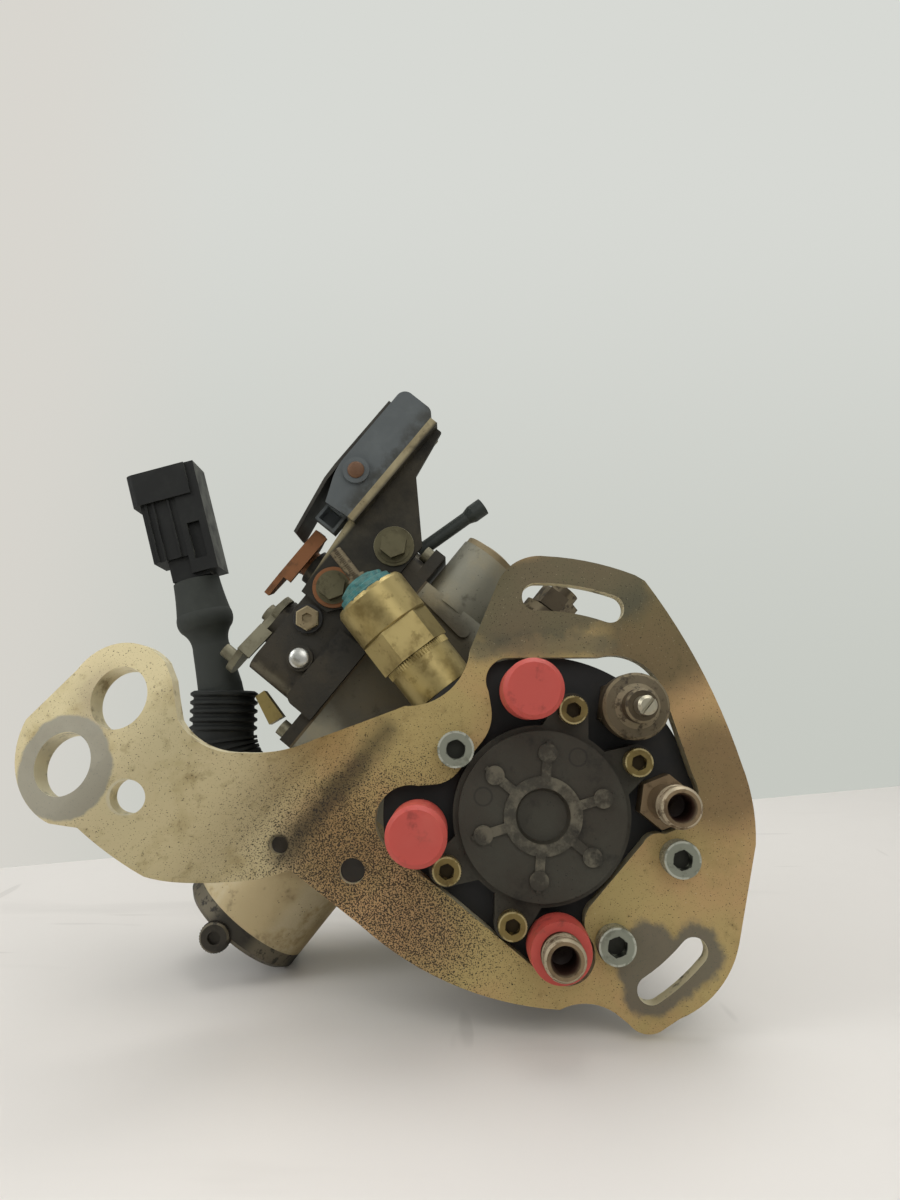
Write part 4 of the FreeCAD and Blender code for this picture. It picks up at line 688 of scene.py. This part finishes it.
# The stop solenoid: a drawn can, gold plated and crimped over a teal insulator with a threaded stud.
# Between its hexagon and its collar runs a fine knurl.
gold_can = turned_steel("gold_plated_can", shade(160, 144, 96), shade(96, 80, 44), 0.3, 0.85)
dress(gold_can, "solenoid_body")
solenoid_angle, solenoid_station, solenoid_seat = math.radians(77), 106, 57.7
solenoid_out = own_side * math.cos(solenoid_angle) + own_up * math.sin(solenoid_angle)


def on_solenoid(height):
    """The point on the solenoid's own axis at this height above its seat, in millimetres."""
    return own_back * solenoid_station * MM + solenoid_out * (solenoid_seat + height) * MM


knurl.grow("can_knurl", standing(on_solenoid(15.9), solenoid_out), gold_can, Ridges=72, Radius=13.4 * MM,
           Height=2.6 * MM, Depth=0.35 * MM)
threaded("stud_thread", on_solenoid(56.9), solenoid_out, 2.35, 12.4, 0.8, regulator_steel)
teal = Finish("teal_moulding", roughness=0.5)
grime = teal.noise(260, 4, 0.65)
rubbed_top = (teal.x * solenoid_out.x + teal.z * solenoid_out.z).rise(0.1035, 0.1075)
rubbed_top = rubbed_top * teal.noise(500, 3).rise(0.42, 0.6)
teal_tone = teal.blend(grime.rise(0.40, 0.66) * 0.75, shade(58, 122, 122), shade(22, 62, 62))
teal_tone = teal.blend(rubbed_top * 0.6, teal_tone, shade(96, 132, 124))
teal.wear(teal_tone, roughness=0.42 + grime * 0.2, height=grime, depth=0.00015, strength=0.5)
dress(teal, "solenoid_insulator")


# Moulded pieces, black and grey: the return pipe, the connector and the lead's gland are hard plastic.
# The boot and the corrugated sleeve of the sender lead are rubber.
def moulding(name, base, film_colour, roughness=0.45):
    finish = Finish(name)
    film = finish.noise(60, 5, 0.65)
    finish.wear(finish.blend(film.rise(0.46, 0.76) * 0.5, base, film_colour), roughness=roughness + film * 0.2,
                height=finish.noise(1300, 2), depth=0.00005, strength=0.4)
    finish.shader.inputs["Specular IOR Level"].default_value = 0.3
    return finish


def patchy_colour_over(finish, mask, film_colour):
    """The given colour lies where the mask is 1, thicker and thinner with a noise."""
    film = finish.noise(140, 4, 0.65).rise(0.3, 0.6)
    finish.wear(finish.blend(mask * film * 0.85, finish.tone, film_colour))


pipe_plastic = moulding("pipe_plastic", shade(50, 55, 51), shade(78, 84, 79), 0.35)
dress(pipe_plastic, "return_pipe")
gland_plastic = moulding("gland_plastic", shade(34, 35, 33), shade(60, 62, 58), 0.4)
dress(gland_plastic, "lead_gland", "shaft_seal")
connector_plastic = moulding("connector_plastic", shade(20, 21, 19), shade(42, 44, 40))
# The connector's sides that face to the right are paler, in patches.
connector_normal = connector_plastic.add("ShaderNodeTexCoord", output="Normal")
to_right = connector_plastic.add("ShaderNodeSeparateXYZ", {}, {"Vector": connector_normal}, "X")
patchy_colour_over(connector_plastic, to_right.rise(0.35, 0.8), shade(84, 85, 78))
dress(connector_plastic, "connector")
boot_rubber = moulding("boot_rubber", shade(48, 51, 47), shade(66, 69, 64), 0.6)
dress(boot_rubber, "cable_boot")
sleeve_rubber = moulding("sleeve_rubber", shade(27, 29, 27), shade(54, 56, 53), 0.55)
dress(sleeve_rubber, "corrugated_sleeve")


# The throttle switch: a bracket of oily yellow-zinc sheet, a grey moulded body under a dark top plate.
# Two hexagon bolts hold the bracket, one over a copper washer. Screws hold the plate, and a rivet the body.
switch_plastic = moulding("switch_plastic", shade(84, 89, 90), shade(104, 110, 110))
# The switch body is darker, in patches, towards its foot.
own_height = switch_plastic.x * own_up.x + switch_plastic.z * own_up.z
patchy_colour_over(switch_plastic, own_height.rise(0.1395, 0.1330), shade(54, 54, 48))
dress(switch_plastic, "switch_body")
dark_sheet = turned_steel("dark_sheet", shade(62, 60, 54), shade(36, 34, 30), 0.45, 0.6)
dress(dark_sheet, "switch_plate")
switch_plating = cast_metal("oily_yellow_zinc", shade(160, 150, 118), shade(118, 104, 74),
                            shade(60, 52, 38), 0.4)
web_height = switch_plating.x * own_up.x + switch_plating.z * own_up.z
# The recessed web is painted near black: dirt and painted shade in the recess.
on_web = switch_plating.y.rise(-0.0870, -0.0878) * web_height.rise(0.1300, 0.1280)
web_dirt_and_shade = switch_plating.noise(40, 4, 0.6).rise(0.62, 0.45)
web_tone = switch_plating.blend(web_dirt_and_shade, shade(44, 40, 30), shade(14, 14, 11))
switch_plating.wear(switch_plating.blend(on_web * 0.95, switch_plating.tone, web_tone))
dress(switch_plating, "switch_bracket")
hex_steel = turned_steel("oily_hexagon_bolt", shade(96, 91, 68), shade(54, 48, 34), 0.4, 0.7,
                         rub_and_highlight=shade(150, 144, 118))
dress(hex_steel, "switch_bolt_1", "switch_bolt_2")
copper = turned_steel("copper_plating", shade(132, 88, 56), shade(78, 58, 40), 0.42, 0.6)
web_face = 90.85
turned("copper_washer", ring(5.6, 8.6, 0.9), standing(across(17.5, 118.5, web_face), own_back), copper)
turned("steel_washer", ring(5.6, 8.4, 0.9), standing(across(46.5, 110, web_face), own_back), hex_steel)
rust = cast_metal("rusty_rivet", shade(96, 66, 42), shade(124, 88, 56), shade(46, 28, 18), 0.2)
boss_face = 98.75
turned("switch_rivet", dome(3.5, 0.3, 1.1), standing(across(60.5, 141.2, boss_face), own_back), rust)
plate_top, plate_middle = 150.3, 84.5
for number, side in enumerate((67, 88), 1):
    turned(f"switch_plate_screw_{number}", dome(3.4, 1.4, 1.6),
           standing(across(side, plate_top, plate_middle), own_up), bright_zinc)


# Levers on the cover, cut from sheet steel: one plain zinc, one plated copper brown.
# A clip of yellow zinc sits beside the cover.
dress(bright_zinc, "throttle_lever")
dress(copper, "idle_lever")
clip_zinc = turned_steel("yellow_clip", shade(150, 134, 84), shade(92, 78, 46), 0.35, 0.7)
clip_outline = [(-37.6, 115.9), (-33.4, 114.6), (-36.6, 101.6), (-42.7, 103.9)]
clip_corners = [across(side, up, station) for station in (76, 83) for side, up in clip_outline]
mesh_rows = [(0, 1, 2, 3), (7, 6, 5, 4), (0, 4, 5, 1), (1, 5, 6, 2), (2, 6, 7, 3), (3, 7, 4, 0)]
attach(mesh_piece("cover_clip", clip_corners, mesh_rows, clip_zinc), "pump")


# The advance unit's cylinder is cast aluminium too, tan with dried oil. Its plug and cap are dark steel.
# The machined plug on the housing's side has a tan of its own.
tan_cast = cast_metal("tan_casting", shade(190, 172, 132), shade(158, 140, 102), shade(92, 80, 54), 0.35,
                      rub_and_highlight=shade(196, 184, 152))
dress(tan_cast, "advance_housing")
tan_pad = cast_metal("machined_tan_pad", shade(150, 136, 106), shade(120, 104, 76), shade(66, 55, 38), 0.6)
dress(tan_pad, "side_plug")
cap_steel = turned_steel("dark_cap_steel", shade(58, 54, 46), shade(30, 27, 22), 0.42, 0.5,
                         rub_and_highlight=shade(112, 104, 86))
dress(cap_steel, "advance_cap")
plug_foot, plug_radius = Vector((-0.1270, -0.0800, -0.0520)), 6.0
plug_profile = [(plug_radius, 0), (plug_radius, 4.6), (5.2, 5.4), (2.6, 5.4), (2.4, 3.4), (0.3, 3.4)]
turned("advance_plug", plug_profile, standing(plug_foot, own_back), cap_steel)
plug_middle = plug_foot + own_back * 2.6 * MM
knurl.grow("advance_plug_knurl", standing(plug_middle, own_back), cap_steel, Ridges=34,
           Radius=plug_radius * MM, Height=3.4 * MM, Depth=0.3 * MM)
